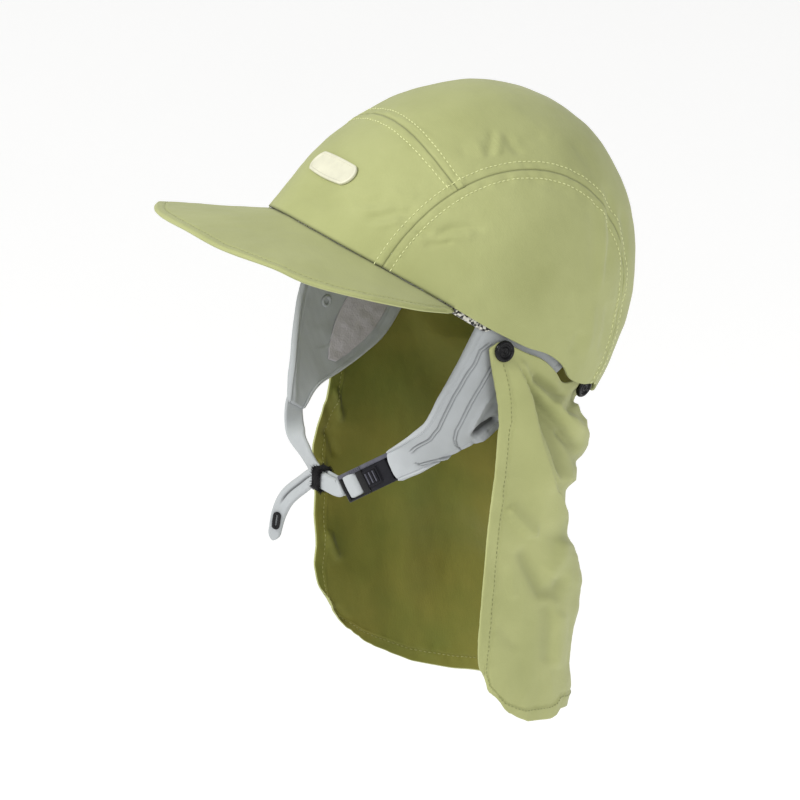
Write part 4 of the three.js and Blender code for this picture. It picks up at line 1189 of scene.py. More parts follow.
def build_ear(side, rows, node, channels, wrinkles, tip=None):
    across = places(58, 0.4, 0.5, 3)[None, :]
    along = places(90, 0.4, 0.47, 3)[:, None]
    across, along = np.broadcast_arrays(across, along)
    base = ear_point(rows, side, across, along)
    wall = np.full(base.shape[:2], EAR_WALL)
    if tip is not None:
        share = smooth(along, 0.84, 1)
        round_end = 1 - 0.35 * np.abs(2 * across - 1) ** 3
        base = base + (share * round_end)[..., None] * (tip.along * 6.5)
        base = base + smooth(along, 0.8, 0.95)[..., None] * tip.outwards * 5.5
        wall = EAR_WALL - 0.9 * smooth(along, 0.85, 0.97)
    normals = grid_normals(base)
    outwards = normals * np.sign(normals[..., :1] * side)
    pixels = seen(base)
    relief = 0.35 * crumple(base, 22, 31)
    # Painted shade in the channels' sewn valleys and in the wrinkles' hollows.
    shade = np.zeros(base.shape[:2])
    for path in channels:
        height, dark = channel(pixels, path, 1.7)
        relief += height
        shade += dark * 0.55
    for path, left, right, height in wrinkles:
        fold = crease(pixels, path, left, right, height)
        relief += fold
        shade += np.clip(-fold * 0.35, 0, 1)
    border = np.minimum(across, 1 - across) * 58
    roll = 0.6 * np.exp(-((border / 1.8) ** 2)) - 0.35 * np.exp(-(((border - 3.4) / 0.8) ** 2))
    shown = relief if side > 0 else 0.3 * crumple(base, 22, 31)
    outer = base + outwards * (shown + roll)[..., None]
    behind = relief if side < 0 else 0.3 * crumple(base, 22, 33)
    inner = base - outwards * (wall + behind + roll)[..., None]
    piece = shell_piece(f"{node}_cloth", outer, inner, [finish("stretch")], shade=shade)
    return finished(piece, "grey_stretch", node)


def build_pocket(side, rows, node):
    u, v = np.meshgrid(np.linspace(0, 1, 40), np.linspace(0, 1, 60))
    along = mix(POCKET["along"][0], POCKET["along"][-1], v)
    across = mix(read(POCKET, "along", "front", along), read(POCKET, "along", "rear", along), u)
    face = ear_point(rows, side, across, along)
    normals = grid_normals(face)
    outwards = normals * np.sign(normals[..., :1] * side)
    bulge = np.sin(np.pi * u) * np.sin(np.pi * v)
    lift = EAR_WALL + GAP + 1.6 * bulge + 0.3 * crumple(face, 8, 41)
    outer = face - outwards * lift[..., None]
    inner = outer - outwards * 0.8
    piece = shell_piece(f"{node}_mesh", outer, inner, [finish("mesh")])
    return finished(piece, "grey_mesh", node)


# Turned pieces


def turned(name, profile, place, facing, material, sides=64):
    """A turned shape from a profile of radii and heights in millimetres, standing along a direction."""
    angle = np.linspace(0, 2 * math.pi, sides + 1)[:-1][None, :]
    radius, height = (np.array(p)[:, None] for p in zip(*profile))
    points = joined(radius * np.cos(angle), radius * np.sin(angle), height * np.ones_like(angle))
    forward = unit(np.asarray(facing, float))
    helper = np.array([0, 0, 1]) if abs(forward[2]) < 0.9 else np.array([1, 0, 0])
    aside = unit(np.cross(helper, forward))
    up = np.cross(forward, aside)
    points = points[..., :1] * aside + points[..., 1:2] * up + points[..., 2:] * forward + np.asarray(place)
    piece = mesh_piece(name, points.reshape(-1, 3), ring_quads(points), [material])
    close_rings(piece)
    return piece


# Snaps at the back: turn from the front in degrees, side, and height in snap radii
BACK_SNAPS = (
    ("snap_left_back", 140, 1, -0.85),
    ("snap_back", 180, 1, -0.55),
    ("snap_right_back", 140, -1, -0.85),
)
BACK_SNAP_TILT = 0.6

# Radii and heights in millimetres of a snap's cap, from its foot to its middle
SNAP_PROFILE = (
    (0.4, 0), (4.9, 0), (5.35, 0.25), (5.6, 0.8), (5.6, 1.4), (5.4, 2.0), (4.95, 2.45), (4.4, 2.6),
    (3.95, 2.5), (3.6, 2.2), (3.4, 1.75), (3.2, 1.55), (2.6, 1.5), (2.3, 1.6), (2.05, 1.95), (1.7, 2.15),
    (1.3, 2.1), (1.0, 1.8), (0.7, 1.5), (0.02, 1.4),
)


def flap_top_depth(turn):
    behind = SNAP_THICKNESS + 4 * GAP
    return CROWN_WALL + GAP + behind * read(FLAP_TOP, "turn", "tuck", turn)


def build_snaps():
    black = finish("black")
    for node, turn, side, height in BACK_SNAPS:
        direction = rim_direction(turn, side)
        place = worn(band_point(turn, side, height * SNAP_RADIUS, flap_top_depth(turn) - 3 * GAP))
        facing = worn(dome_facing(direction)) + np.array([BACK_SNAP_TILT * side * (turn < 180), 0, 0])
        finished(turned(f"{node}_cap", SNAP_PROFILE, place, facing, black), "black_plastic", node)
    for node, side in (("snap_left_front", 1), ("snap_right_front", -1)):
        middle = cad_middle(node)
        facing = np.array([side, 0.05, 0.12])
        place = middle - unit(facing) * SNAP_THICKNESS / 2
        finished(turned(f"{node}_cap", SNAP_PROFILE, place, facing, black), "black_plastic", node)


EYELET_PROFILE = (
    (1.35, 0), (3.1, 0), (3.25, 0.25), (3.1, 0.6), (2.7, 0.85), (2.2, 0.9), (1.7, 0.75), (1.4, 0.5), (1.35, 0),
)


def build_eyelets():
    for node, rows, side in (("ear_eyelet_left", LEFT_EAR, 1), ("ear_eyelet_right", RIGHT_EAR, -1)):
        middle = cad_middle(node)
        face = ear_point(rows, side, *np.meshgrid(np.array([0.3, 0.32]), np.array([0.38, 0.4])))
        normal = grid_normals(face)[0, 0]
        inwards = normal * -np.sign(normal[0] * side)
        place = middle - inwards * 0.45
        piece = turned(f"{node}_ring", EYELET_PROFILE, place, inwards, finish("stretch"), 40)
        finished(piece, "grey_mesh", node)


# Neck flap


# Folds of the flap on the near side: pixels, widths in pixels on each side, height in millimetres
FLAP_FOLDS = (
    ([(509, 356), (516, 371), (525, 393), (537, 438), (550, 482), (566, 534)], 20, 2.8, 5.0),
    ([(518, 362), (531, 394), (545, 426), (556, 455), (565, 482)], 3, 13, -4.2),
    ([(516, 351), (526, 373), (546, 400), (570, 421), (589, 440)], 6, 5, 4.2),
    ([(532, 394), (551, 415), (568, 435), (583, 452)], 6, 4, -3.2),
    ([(532, 377), (549, 387), (566, 397)], 5, 5, -3.0),
    ([(579, 388), (574, 402), (565, 417)], 3.5, 3.5, -2.2),
    ([(572, 383), (564, 397), (552, 407)], 3.5, 3.5, 1.8),
    ([(582, 394), (585, 410), (587, 425)], 3, 3, 1.4),
    ([(561, 430), (573, 450), (580, 468)], 4, 6, -2.0),
    ([(505, 508), (513, 517), (521, 525), (528, 534), (539, 534)], 2.4, 10, 3.2),
    ([(519, 546), (530, 570), (542, 592), (556, 592), (567, 574)], 7, 7, -2.4),
    ([(566, 540), (560, 560), (548, 575)], 8, 8, 1.8),
    ([(548, 600), (550, 630), (548, 665)], 9, 5, -1.4),
    ([(562, 610), (560, 640), (556, 670)], 6, 6, 1.6),
    ([(505, 555), (511, 575), (512, 600)], 6, 6, 0.9),
    ([(497, 625), (507, 640), (520, 650)], 5, 5, -0.7),
)
FAR_FLAP_FOLDS = (
    ([(333, 385), (337, 405), (341, 422)], 3, 3, -2.4),
    ([(326, 400), (330, 420), (332, 440)], 4, 4, 1.6),
    ([(324, 425), (330, 440), (336, 458)], 4, 3, 2.2),
    ([(318, 455), (326, 470), (330, 490)], 3, 4, -1.8),
    ([(326, 530), (333, 548), (340, 560)], 4, 4, -2.4),
    ([(334, 605), (342, 618), (350, 622)], 4, 4, 1.6),
    ([(352, 420), (356, 500), (352, 580)], 20, 26, 1.6),
    ([(420, 340), (424, 450), (420, 620)], 24, 34, -1.8),
    ([(385, 500), (388, 560), (392, 640)], 16, 16, 1.0),
    ([(455, 380), (450, 480), (452, 640)], 18, 22, 1.4),
)


def flap_point(u, v):
    side = np.where(u < 0.5, 1, -1)
    round_share = 1 - np.abs(2 * u - 1)
    first = FLAP_TOP["turn"][0]
    turn = mix(first, 180, round_share)
    height = SNAP_RADIUS * read(FLAP_TOP, "turn", "height", turn)
    top = worn(band_point(turn, side, height, flap_top_depth(turn)))
    side_drop = side * FLAP_SIDE_DROP * np.sin(np.pi * np.sqrt(round_share))
    bottom = side_drop - FLAP_DROP * read(FLAP_BOTTOM, "round", "drop", round_share)
    z = mix(top[..., 2], bottom, v)
    section = {c: read(FLAP_SECTIONS, "drop", c, v) for c in ("width", "left_hem", "right_hem", "back")}
    angle = np.pi / 2 * round_share
    power = 2 / FLAP_ROUNDNESS
    half = (HALF_WIDTH + FLAP_FLARE) * section["width"]
    hem = FLAP_HEM_BACK * np.where(side > 0, section["left_hem"], section["right_hem"])
    depth = FLAP_BACK * section["back"] - hem
    x = side * half * np.clip(np.cos(angle), 0, 1) ** power
    y = hem + depth * np.sin(angle) ** power
    hung = joined(x, y, z)
    tuck = read(FLAP_TOP, "turn", "tuck", turn)
    behind = np.minimum(top[..., 2] - z, 2 * SNAP_RADIUS) * tuck
    top = top - joined(np.zeros_like(z), behind * math.tan(math.radians(WEAR_PITCH)), np.zeros_like(z))
    blend = smooth(v, 0.08 * tuck, 0.22)[..., None]
    point = mix(top, hung, blend)
    point[..., 2] = z
    return point


# Outlines of the flap in the photograph: the near hem, the near side's back edge, and both bottoms
NEAR_HEM = ((490, 349), (494, 383), (499, 425), (495, 475), (489, 525), (483, 588), (478, 640), (479, 668))
NEAR_BACK = (
    (579, 400), (580, 407), (588, 425), (588, 445), (580, 465), (577, 480), (566, 489), (565, 510),
    (567, 534), (579, 556), (584, 580), (580, 605), (573, 638), (570, 665), (571, 690),
)
NEAR_BOTTOM = ((480, 674), (490, 695), (508, 715), (528, 722), (555, 717), (564, 703))
FAR_HEM = (
    (330, 375), (326, 399), (317, 426), (312, 445), (312, 470), (315, 493), (314, 515), (316, 545),
    (314, 565), (316, 584),
)
FAR_BOTTOM = ((326, 605), (341, 628), (367, 644), (410, 660), (452, 668), (479, 669))


# Pixels past an outline's ends over which its pull fades out
PULL_FADE = 45


def pulled(grid, part, rim, outline, sideways, pick, reach):
    """The cloth moved in the picture's plane until its rim follows an outline of pixels."""
    pixels = seen(grid)
    value, key = (pixels[..., 0], pixels[..., 1]) if sideways else (pixels[..., 1], pixels[..., 0])
    wanted = np.array(outline, float) if sideways else np.array(outline, float)[:, ::-1]
    samples = np.arange(wanted[0, 1], wanted[-1, 1], 4.0)
    samples = samples[[bool(np.any((np.abs(key - k) < 6) & rim)) for k in samples]]
    edge = np.array([pick(value[(np.abs(key - k) < 6) & rim]) for k in samples])
    move = np.interp(samples, wanted[:, 1], wanted[:, 0]) - edge
    here = np.interp(key, samples, edge)
    weight = part * (1 - smooth(np.abs(value - here), 0, reach))
    weight = weight * smooth(key, samples[0] - PULL_FADE, samples[0])
    weight = weight * (1 - smooth(key, samples[-1], samples[-1] + PULL_FADE))
    direction = VIEW_RIGHT if sideways else -VIEW_UP
    return grid + (np.interp(key, samples, move) * weight)[..., None] / PIXELS_PER_MM * direction


def flap_relief(grid, normals, side):
    """The height of the flap's folds in millimetres."""
    pixels = seen(grid)
    relief = np.zeros(grid.shape[:2])
    near = (side > 0) * smooth(normals @ VIEW_BACK, -0.3, 0.0)
    for path, left, right, height in FLAP_FOLDS:
        relief += near * crease(pixels, path, left, right, height, taper=0.14)
    far = (side < 0) * smooth(-(normals @ VIEW_BACK), -0.2, 0.1)
    for path, left, right, height in FAR_FLAP_FOLDS:
        relief += far * crease(pixels, path, left, right, height, taper=0.2)
    return relief


# Thread radius, spacing and length of the flap's stitches, in millimetres
FLAP_STITCH = (0.24, 2.5, 1.7)

# Painted shade: how much darker a fold's hollow is drawn for each millimetre of its depth, as a share
FOLD_SHADE = 0.12


def build_flap():
    u = mix(0, 1, places(330, 0.6, 1.75, 9))[None, :]
    v = places(222, 0.7, 1.8, 9)[:, None]
    u, v = np.broadcast_arrays(u, v)
    base = flap_point(u, v)
    near_part, far_part = 1.0 - smooth(u, 0.3, 0.5), smooth(u, 0.55, 0.75)
    bottom = v > 0.999
    base = pulled(base, near_part, u < 0.001, NEAR_HEM, True, np.min, 50)
    base = pulled(base, np.ones_like(u), u < 0.62, NEAR_BACK, True, np.max, 40)
    base = pulled(base, 1.0 - smooth(u, 0.45, 0.6), bottom & (u < 0.5), NEAR_BOTTOM, False, np.max, 70)
    base = pulled(base, far_part, u > 0.999, FAR_HEM, True, np.min, 50)
    base = pulled(base, far_part, bottom & (u > 0.6), FAR_BOTTOM, False, np.max, 70)
    normals = grid_normals(base)
    from_axis = (base - np.array([0, FLAP_MIDDLE, 0])) * np.array([1, 1, 0])
    outwards = normals * np.sign(np.sum(normals * from_axis, axis=-1))[..., None]
    side = np.where(u < 0.5, 1, -1)
    relief = flap_relief(base, outwards, side) * smooth(v, 0.0, 0.06)
    # Painted shade in the hollows of the folds.
    painted_fold_shade = np.clip(-FOLD_SHADE * relief, 0, 0.45)
    relief += 0.6 * crumple(base * np.array([1, 1, 0.5]), 38, 51) * smooth(v, 0.02, 0.15)
    across_mm = flat_places(base)[..., 0]
    from_left = across_mm - across_mm[:, :1]
    from_right = across_mm[:, -1:] - across_mm
    from_bottom = flat_places(base)[..., 1][-1:, :] - flat_places(base)[..., 1]
    edge = np.minimum(np.minimum(from_left, from_right), from_bottom)
    hem = sizes().flap_hem / MM
    pucker = crumple(base, 11, 57, 2)
    relief += 0.3 * (1 - smooth(edge, hem - 0.2, hem + 0.9))
    relief -= (0.45 + 0.2 * pucker) * np.exp(-(((edge - hem - 0.7) / 0.9) ** 2))
    relief += 0.45 * pucker * np.exp(-(((edge - hem) / 5) ** 2)) * smooth(v, 0.03, 0.1)
    outer = base + outwards * relief[..., None]
    inside = 0.25 * (1 - smooth(edge, hem - 0.2, hem + 0.9)) - 0.3 * np.exp(-(((edge - hem) / 0.8) ** 2))
    inner = outer - outwards * (FLAP_WALL + inside)[..., None]
    # Outside, inside and rim: the inside takes the darker finish, painted shade.
    cloths = [finish("flap_nylon"), finish("flap_inside_painted_shade_nylon"), finish("flap_nylon")]
    piece = shell_piece("neck_flap_cloth", outer, inner, cloths, shade=painted_fold_shade)
    finished(piece, "flap_cloth", "neck_flap")
    away = hem - 0.7
    lift = outwards * 0.1
    # The inside stitching takes the darker thread, painted shade.
    faces = ((outer + lift, "outside", "thread_flap"), (inner - lift, "inside", "thread_inside_painted_shade"))
    for face, word, thread in faces:
        half = u.shape[1] // 2
        side_hems = [
            across_line(face[:, :half], from_left[:, :half], away),
            across_line(face[:, half:], from_right[:, half:], away),
        ]
        rows_kept = int(np.argmax(from_bottom[:, 0] < away * 1.6)) or face.shape[0]
        low = across_line(face.transpose(1, 0, 2), from_bottom.T, away)
        lines = [*(hem_line[3:rows_kept] for hem_line in side_hems), low[12:-12]]
        stitches = sewn(f"neck_flap_stitching_{word}", lines, thread, *(s * MM for s in FLAP_STITCH))
        finished(stitches, "flap_cloth")


# Chin strap


BUCKLE_END = (8, -60, -95)
KEEPER_PLACE = (-5, -62, -91)
KEEPER_ALONG = (-0.97, -0.1, 0.05)
BUCKLE_FACING = (0.82, -0.473, 0.322)
TAIL_FACING = (0.75, -0.65, 0.1)
STRAP_END_FACING = (1, 0.05, 0)
STRAP_WALL = 2.2
STRAP_WIDTH = 10
TAIL_WALL = 3.2
TAIL_WIDTH = 9.5
TAIL_REACH = 41
STRAP_SAG = 11
LOOP_WIDTH = 12
LOOP_WALL = 1.6
BUCKLE_WIDTH = 15
BUCKLE_THICKNESS = 6
SOCKET_LENGTH = 23
PRONG_LENGTH = 16
SLOT_LENGTH = 4
BUCKLE_RAIL = 1.8
KEEPER_LENGTH = 7
KEEPER_WALL = 1.4
RIB_PITCH = 1.4
RIB_HEIGHT = 0.06


class Axes:
    """An origin with a direction along, one aside and one outwards."""

    def __init__(self, origin, along, outwards):
        self.origin = np.array(origin, float)
        self.along = unit(np.array(along, float))
        outwards = np.array(outwards, float)
        self.outwards = unit(outwards - self.along * (outwards @ self.along))
        self.aside = np.cross(self.outwards, self.along)

    def at(self, x, y, z):
        x, y, z = (np.asarray(a, float)[..., None] for a in (x, y, z))
        return self.origin + self.along * x + self.aside * y + self.outwards * z

    def matrix(self):
        turn = Matrix([*zip(self.along, self.aside, self.outwards)])
        return Matrix.Translation(Vector(self.origin * MM)) @ turn.to_4x4()


buckle_start = ear_point(LEFT_EAR, 1, np.array(0.5), np.array(1.0))
BUCKLE = Axes(buckle_start, np.array(BUCKLE_END) - buckle_start, BUCKLE_FACING)
KEEPER = Axes(KEEPER_PLACE, KEEPER_ALONG, BUCKLE.outwards)
SOCKET_START = LOOP_WALL + GAP + STRAP_WALL
SOCKET_END = SOCKET_START + SOCKET_LENGTH
PRONG_END = SOCKET_END + GAP + PRONG_LENGTH
STRAP_LAYER = -(STRAP_WALL + GAP) / 2
TAIL_LAYER = (TAIL_WALL + GAP) / 2


def smooth_path(points, count):
    """A curve through points, with even steps."""
    points = np.array(points, float)
    padded = np.concatenate([[2 * points[0] - points[1]], points, [2 * points[-1] - points[-2]]])
    fine = []
    for a, b, c, d in zip(padded[:-3], padded[1:-2], padded[2:-1], padded[3:]):
        t0 = 0.0
        t1 = t0 + np.linalg.norm(b - a) ** 0.5
        t2 = t1 + np.linalg.norm(c - b) ** 0.5
        t3 = t2 + np.linalg.norm(d - c) ** 0.5
        for t in np.linspace(t1, t2, 30, endpoint=False):
            p = [(t1 - t) / (t1 - t0) * a + (t - t0) / (t1 - t0) * b]
            p.append((t2 - t) / (t2 - t1) * b + (t - t1) / (t2 - t1) * c)
            p.append((t3 - t) / (t3 - t2) * c + (t - t2) / (t3 - t2) * d)
            q = [(t2 - t) / (t2 - t0) * p[0] + (t - t0) / (t2 - t0) * p[1]]
            q.append((t3 - t) / (t3 - t1) * p[1] + (t - t1) / (t3 - t1) * p[2])
            fine.append((t2 - t) / (t2 - t1) * q[0] + (t - t1) / (t2 - t1) * q[1])
    fine = np.array([*fine, points[-1]])
    run = np.concatenate([[0], np.cumsum(np.linalg.norm(np.diff(fine, axis=0), axis=1))])
    even = np.linspace(0, run[-1], count)
    return np.stack([np.interp(even, run, fine[:, k]) for k in range(3)], axis=1)


def webbing(name, path, facings, width, wall, material, relief=None, ends=0.0, taper=0.0, dark=None):
    """A flat strap along a path.

    relief and dark give its height and its painted shade from places along and across. ends is the length over which
    its far end rounds off, and taper is how much narrower it gets.
    """
    count = len(path)
    tangents = unit(np.gradient(path, axis=0))
    outwards = unit(facings - tangents * np.sum(facings * tangents, axis=1, keepdims=True))
    aside = np.cross(outwards, tangents)
    across = np.sin(np.linspace(-math.pi / 2, math.pi / 2, 41))
    run = np.concatenate([[0], np.cumsum(np.linalg.norm(np.diff(path, axis=0), axis=1))])
    narrow = np.ones(count)
    if ends:
        left = np.clip((run[-1] - run) / ends, 0, 1)
        narrow = np.sqrt(np.clip(1 - (1 - left) ** 2, 0.02, 1))
    narrow = narrow * (1 - taper * smooth(run / run[-1], 0.6, 1))
    half = width / 2 * narrow[:, None]
    edge = np.clip((1 - np.abs(across)) * width / 2 / (wall / 2), 0, 1)
    thickness = wall / 2 * np.sqrt(np.clip(1 - (1 - edge) ** 2, 0.04, 1))[None, :] * np.ones((count, 1))
    height = np.zeros_like(thickness) if relief is None else relief(run[:, None], across[None, :] * width / 2)
    middle = path[:, None, :] + aside[:, None, :] * (half * across[None, :])[..., None]
    outer = middle + outwards[:, None, :] * (thickness + height)[..., None]
    inner = middle - outwards[:, None, :] * (thickness + height * 0.6)[..., None]
    shade = 0.0 if dark is None else dark(run[:, None], across[None, :] * width / 2)
    shade = np.broadcast_to(shade, thickness.shape)
    return shell_piece(name, outer, inner, [material], roundness=0.1, shade=shade)


def turned_facings(start, end, count, begin):
    share = smooth(np.linspace(0, 1, count), begin, 1)[:, None]
    return mix(np.asarray(start, float), np.asarray(end, float), share)


def cross_ribs(along, across):
    """The height of the webbing's cross ribs, from places in millimetres."""
    return RIB_HEIGHT * np.sin(2 * np.pi * along / RIB_PITCH) * np.ones_like(across)


def layer_start(layer):
    """The first points of a strap's route, from the buckle's bar through the keeper."""
    bar = [BUCKLE.at(PRONG_END + past, -2, layer) for past in (0.8, 3)]
    return bar + [KEEPER.at(way * KEEPER_LENGTH / 2, 0, layer) for way in (-1, 1)]


def build_straps():
    stretch = finish("stretch")
    tip = ear_point(RIGHT_EAR, -1, np.array(0.5), np.array(1.0))
    keeper = np.array(KEEPER_PLACE, float)
    route = layer_start(STRAP_LAYER)
    for share, aside, ahead, below in ((0.6, 0, -0.05, 1), (0.93, -0.18, 0, 1)):
        route.append(mix(keeper, tip, share) + STRAP_SAG * np.array([aside, -ahead, -below]))
    for along in (1.0, 0.93, 0.86):
        place = ear_point(RIGHT_EAR, -1, np.array(0.5), np.array(along))
        route.append(place + np.array([-0.8 - 4 * (1 - along), 0, 0]))
    path = smooth_path(route, 170)
    facings = turned_facings(KEEPER.outwards, STRAP_END_FACING, 170, 0.3)
    strap = webbing("chin_strap_webbing", path, facings, STRAP_WIDTH, STRAP_WALL, stretch, cross_ribs)
    finished(strap, "grey_stretch", "chin_strap_right")

    route = layer_start(TAIL_LAYER)
    for aside, ahead, below in ((-0.44, 0.04, 0.21), (-0.6, 0.16, 0.4), (-0.7, 0.22, 0.62), (-0.79, 0.26, 1)):
        route.append(keeper + TAIL_REACH * np.array([aside, -ahead, -below]))
    path = smooth_path(route, 180)
    facings = turned_facings(KEEPER.outwards, TAIL_FACING, 180, 0.35)

    def tail_relief(along, across):
        shown = smooth(along, 22, 27) * (1 - smooth(along, 50, 56))
        groove = -1.1 * np.exp(-(((across + 0.8) / 0.55) ** 2)) * shown
        return groove + 0.3 * np.exp(-(((across + 2.6) / 1.2) ** 2)) * shown

    # Painted shade along the middle of the tail's groove.
    def tail_groove_painted_shade(along, across):
        shown = smooth(along, 18, 22) * (1 - smooth(along, 50, 56))
        return 0.75 * np.exp(-(((across + 0.8) / 0.45) ** 2)) * shown

    shape = {"relief": tail_relief, "ends": 4.5, "taper": 0.3, "dark": tail_groove_painted_shade}
    tail = webbing("strap_tail_webbing", path, facings, TAIL_WIDTH, TAIL_WALL, stretch, **shape)
    finished(tail, "grey_stretch", "strap_tail")


# Buckle


def block(mesh, low, high, bevel):
    """A block with rounded edges between two corners, in millimetres on the buckle's axes."""
    low, high = np.array(low, float), np.array(high, float)
    made = bmesh.ops.create_cube(mesh, size=1.0)
    verts = made["verts"]
    for vert in verts:
        vert.co = Vector((low + high) / 2 + np.array(vert.co) * (high - low))
    edges = list({e for v in verts for e in v.link_edges})
    bmesh.ops.bevel(mesh, geom=edges, offset=bevel, segments=3, profile=0.6, affect="EDGES")


def block_piece(name, blocks, axes, materials):
    """A piece of blocks, each with its corners, its bevel and the place of its material."""
    mesh = bmesh.new()
    for low, high, bevel, *place in blocks:
        before = set(mesh.faces)
        block(mesh, low, high, bevel)
        for face in set(mesh.faces) - before:
            face.material_index = place[0] if place else 0
    bmesh.ops.scale(mesh, vec=(MM, MM, MM), verts=mesh.verts)
    bmesh.ops.transform(mesh, matrix=axes.matrix(), verts=mesh.verts)
    bmesh.ops.recalc_face_normals(mesh, faces=mesh.faces)
    for face in mesh.faces:
        face.smooth = True
    data = bpy.data.meshes.new(name)
    mesh.to_mesh(data)
    mesh.free()
    for material in materials:
        data.materials.append(material)
    return linked(name, data)


def build_buckle():
    half, thick = BUCKLE_WIDTH / 2, BUCKLE_THICKNESS / 2
    s0, s1 = SOCKET_START, SOCKET_END
    rail = 2.2
    body = s0 + BUCKLE_RAIL + SLOT_LENGTH
    # Blocks with a fourth value take the lighter rail finish: painted light on the top rail and on every other rib.
    socket = [
        ((body, -half + rail * 0.5, -thick + 0.4), (s1 - 0.2, half - 0.2, thick - 0.5), 0.7),
        ((s0, -half, -thick), (s1, -half + rail, thick + 0.2), 0.8, 1),
        ((s0, half - rail * 0.6, -thick), (s1, half, thick - 0.4), 0.6),
        ((s0, -half + 0.4, -thick + 0.8), (s0 + BUCKLE_RAIL, half - 0.4, thick - 0.8), 0.7),
        ((s1 - 10.6, -4.3, thick - 0.9), (s1 - 0.3, 4.9, thick - 0.1), 0.35),
        ((s1 - 10.2, -3.9, thick - 0.9), (s1 - 9.4, 4.5, thick + 0.45), 0.25),
        ((s1 - 10.2, -3.9, thick - 0.9), (s1 - 0.6, -3.2, thick + 0.45), 0.25),
        ((s1 - 10.2, 3.9, thick - 0.9), (s1 - 0.6, 4.6, thick + 0.45), 0.25),
    ]
    for k in range(6):
        x = s1 - 8.6 + 1.35 * k
        socket.append(((x, -2.6, thick - 0.4), (x + 0.75, 3.4, thick + 0.55 - 0.06 * k), 0.25, k % 2))
    piece = block_piece("buckle_socket_body", socket, BUCKLE, [finish("slate"), finish("rail")])
    finished(piece, "slate_plastic", "buckle_socket")
    p0, p1 = SOCKET_END + GAP, PRONG_END
    slot = 9.4
    bar = p1 - BUCKLE_RAIL
    # Blocks with a fourth value take the lighter rail finish: painted light on the top rail and its ribs.
    prong = [
        ((p0, -half, -thick), (p1, -half + rail, thick + 0.1), 0.8, 1),
        ((p0, half - rail * 0.6, -thick), (p1, half, thick - 0.4), 0.6),
        ((p0, -half + 0.5, -thick + 0.7), (p1 - BUCKLE_RAIL - slot, half - 0.3, thick - 0.5), 0.6),
        ((p1 - BUCKLE_RAIL, -half + 0.3, -thick + 0.4), (p1, half - 0.2, thick - 0.1), 0.7),
        ((bar - slot * 0.62, -half + 0.5, -1.1), (bar - slot * 0.4, half - 0.4, 1.1), 0.5),
    ]
    for k in range(5):
        x = p0 + 0.8 + 1.5 * k
        prong.append(((x, -half + 0.2, thick - 0.2), (x + 0.7, -half + rail * 0.8, thick + 0.5), 0.2, 1))
    piece = block_piece("buckle_prong_body", prong, BUCKLE, [finish("black"), finish("rail")])
    finished(piece, "black_plastic", "buckle_prong")
    left = strap_loop("strap_loop_left", s0 - GAP, s0 + BUCKLE_RAIL + GAP, 2.5, 1.2)
    right = strap_loop("strap_loop_right", p1 - BUCKLE_RAIL - slot + 1.6, p1 - BUCKLE_RAIL - 1.5, 2.1, 1.5)
    finished(left, "grey_stretch", "strap_loop_left")
    finished(right, "grey_stretch", "strap_loop_right")


def racetrack(left, right, half_height, count):
    """A closed outline with round ends: its points and directions outwards."""
    radius = min(half_height, (right - left) / 2)
    straight_x = (right - left) / 2 - radius
    straight_z = half_height - radius
    angle = np.linspace(0, 2 * math.pi, count + 1)[:-1]
    x = np.sign(np.cos(angle)) * straight_x * smooth(np.abs(np.cos(angle)), 0, 0.35) + radius * np.cos(angle)
    z = np.sign(np.sin(angle)) * straight_z * smooth(np.abs(np.sin(angle)), 0, 0.35) + radius * np.sin(angle)
    return (left + right) / 2 + x, z, np.cos(angle), np.sin(angle)


def strap_loop(node, start, end, half_height, wall):
    """Webbing sewn round a bar of the buckle."""
    x, z, out_x, out_z = racetrack(start, end, half_height, 96)
    across = np.sin(np.linspace(-math.pi / 2, math.pi / 2, 25))
    edge = np.clip((1 - np.abs(across)) * LOOP_WIDTH / 2 / (wall / 2), 0, 1)
    bulge = wall * np.sqrt(np.clip(1 - (1 - edge) ** 2, 0.05, 1)) * (1 + 0.25 * np.cos(across * 1.4))
    y = across[:, None] * LOOP_WIDTH / 2 * np.ones_like(x)[None, :]
    grow = bulge[:, None]
    outer = BUCKLE.at(x[None, :] + out_x[None, :] * grow, y, z[None, :] + out_z[None, :] * grow)
    inner = BUCKLE.at(x[None, :] * np.ones_like(grow), y, z[None, :] * np.ones_like(grow))
    return shell_piece(f"{node}_webbing", outer, inner, [finish("stretch")], ring=True, roundness=0.2)


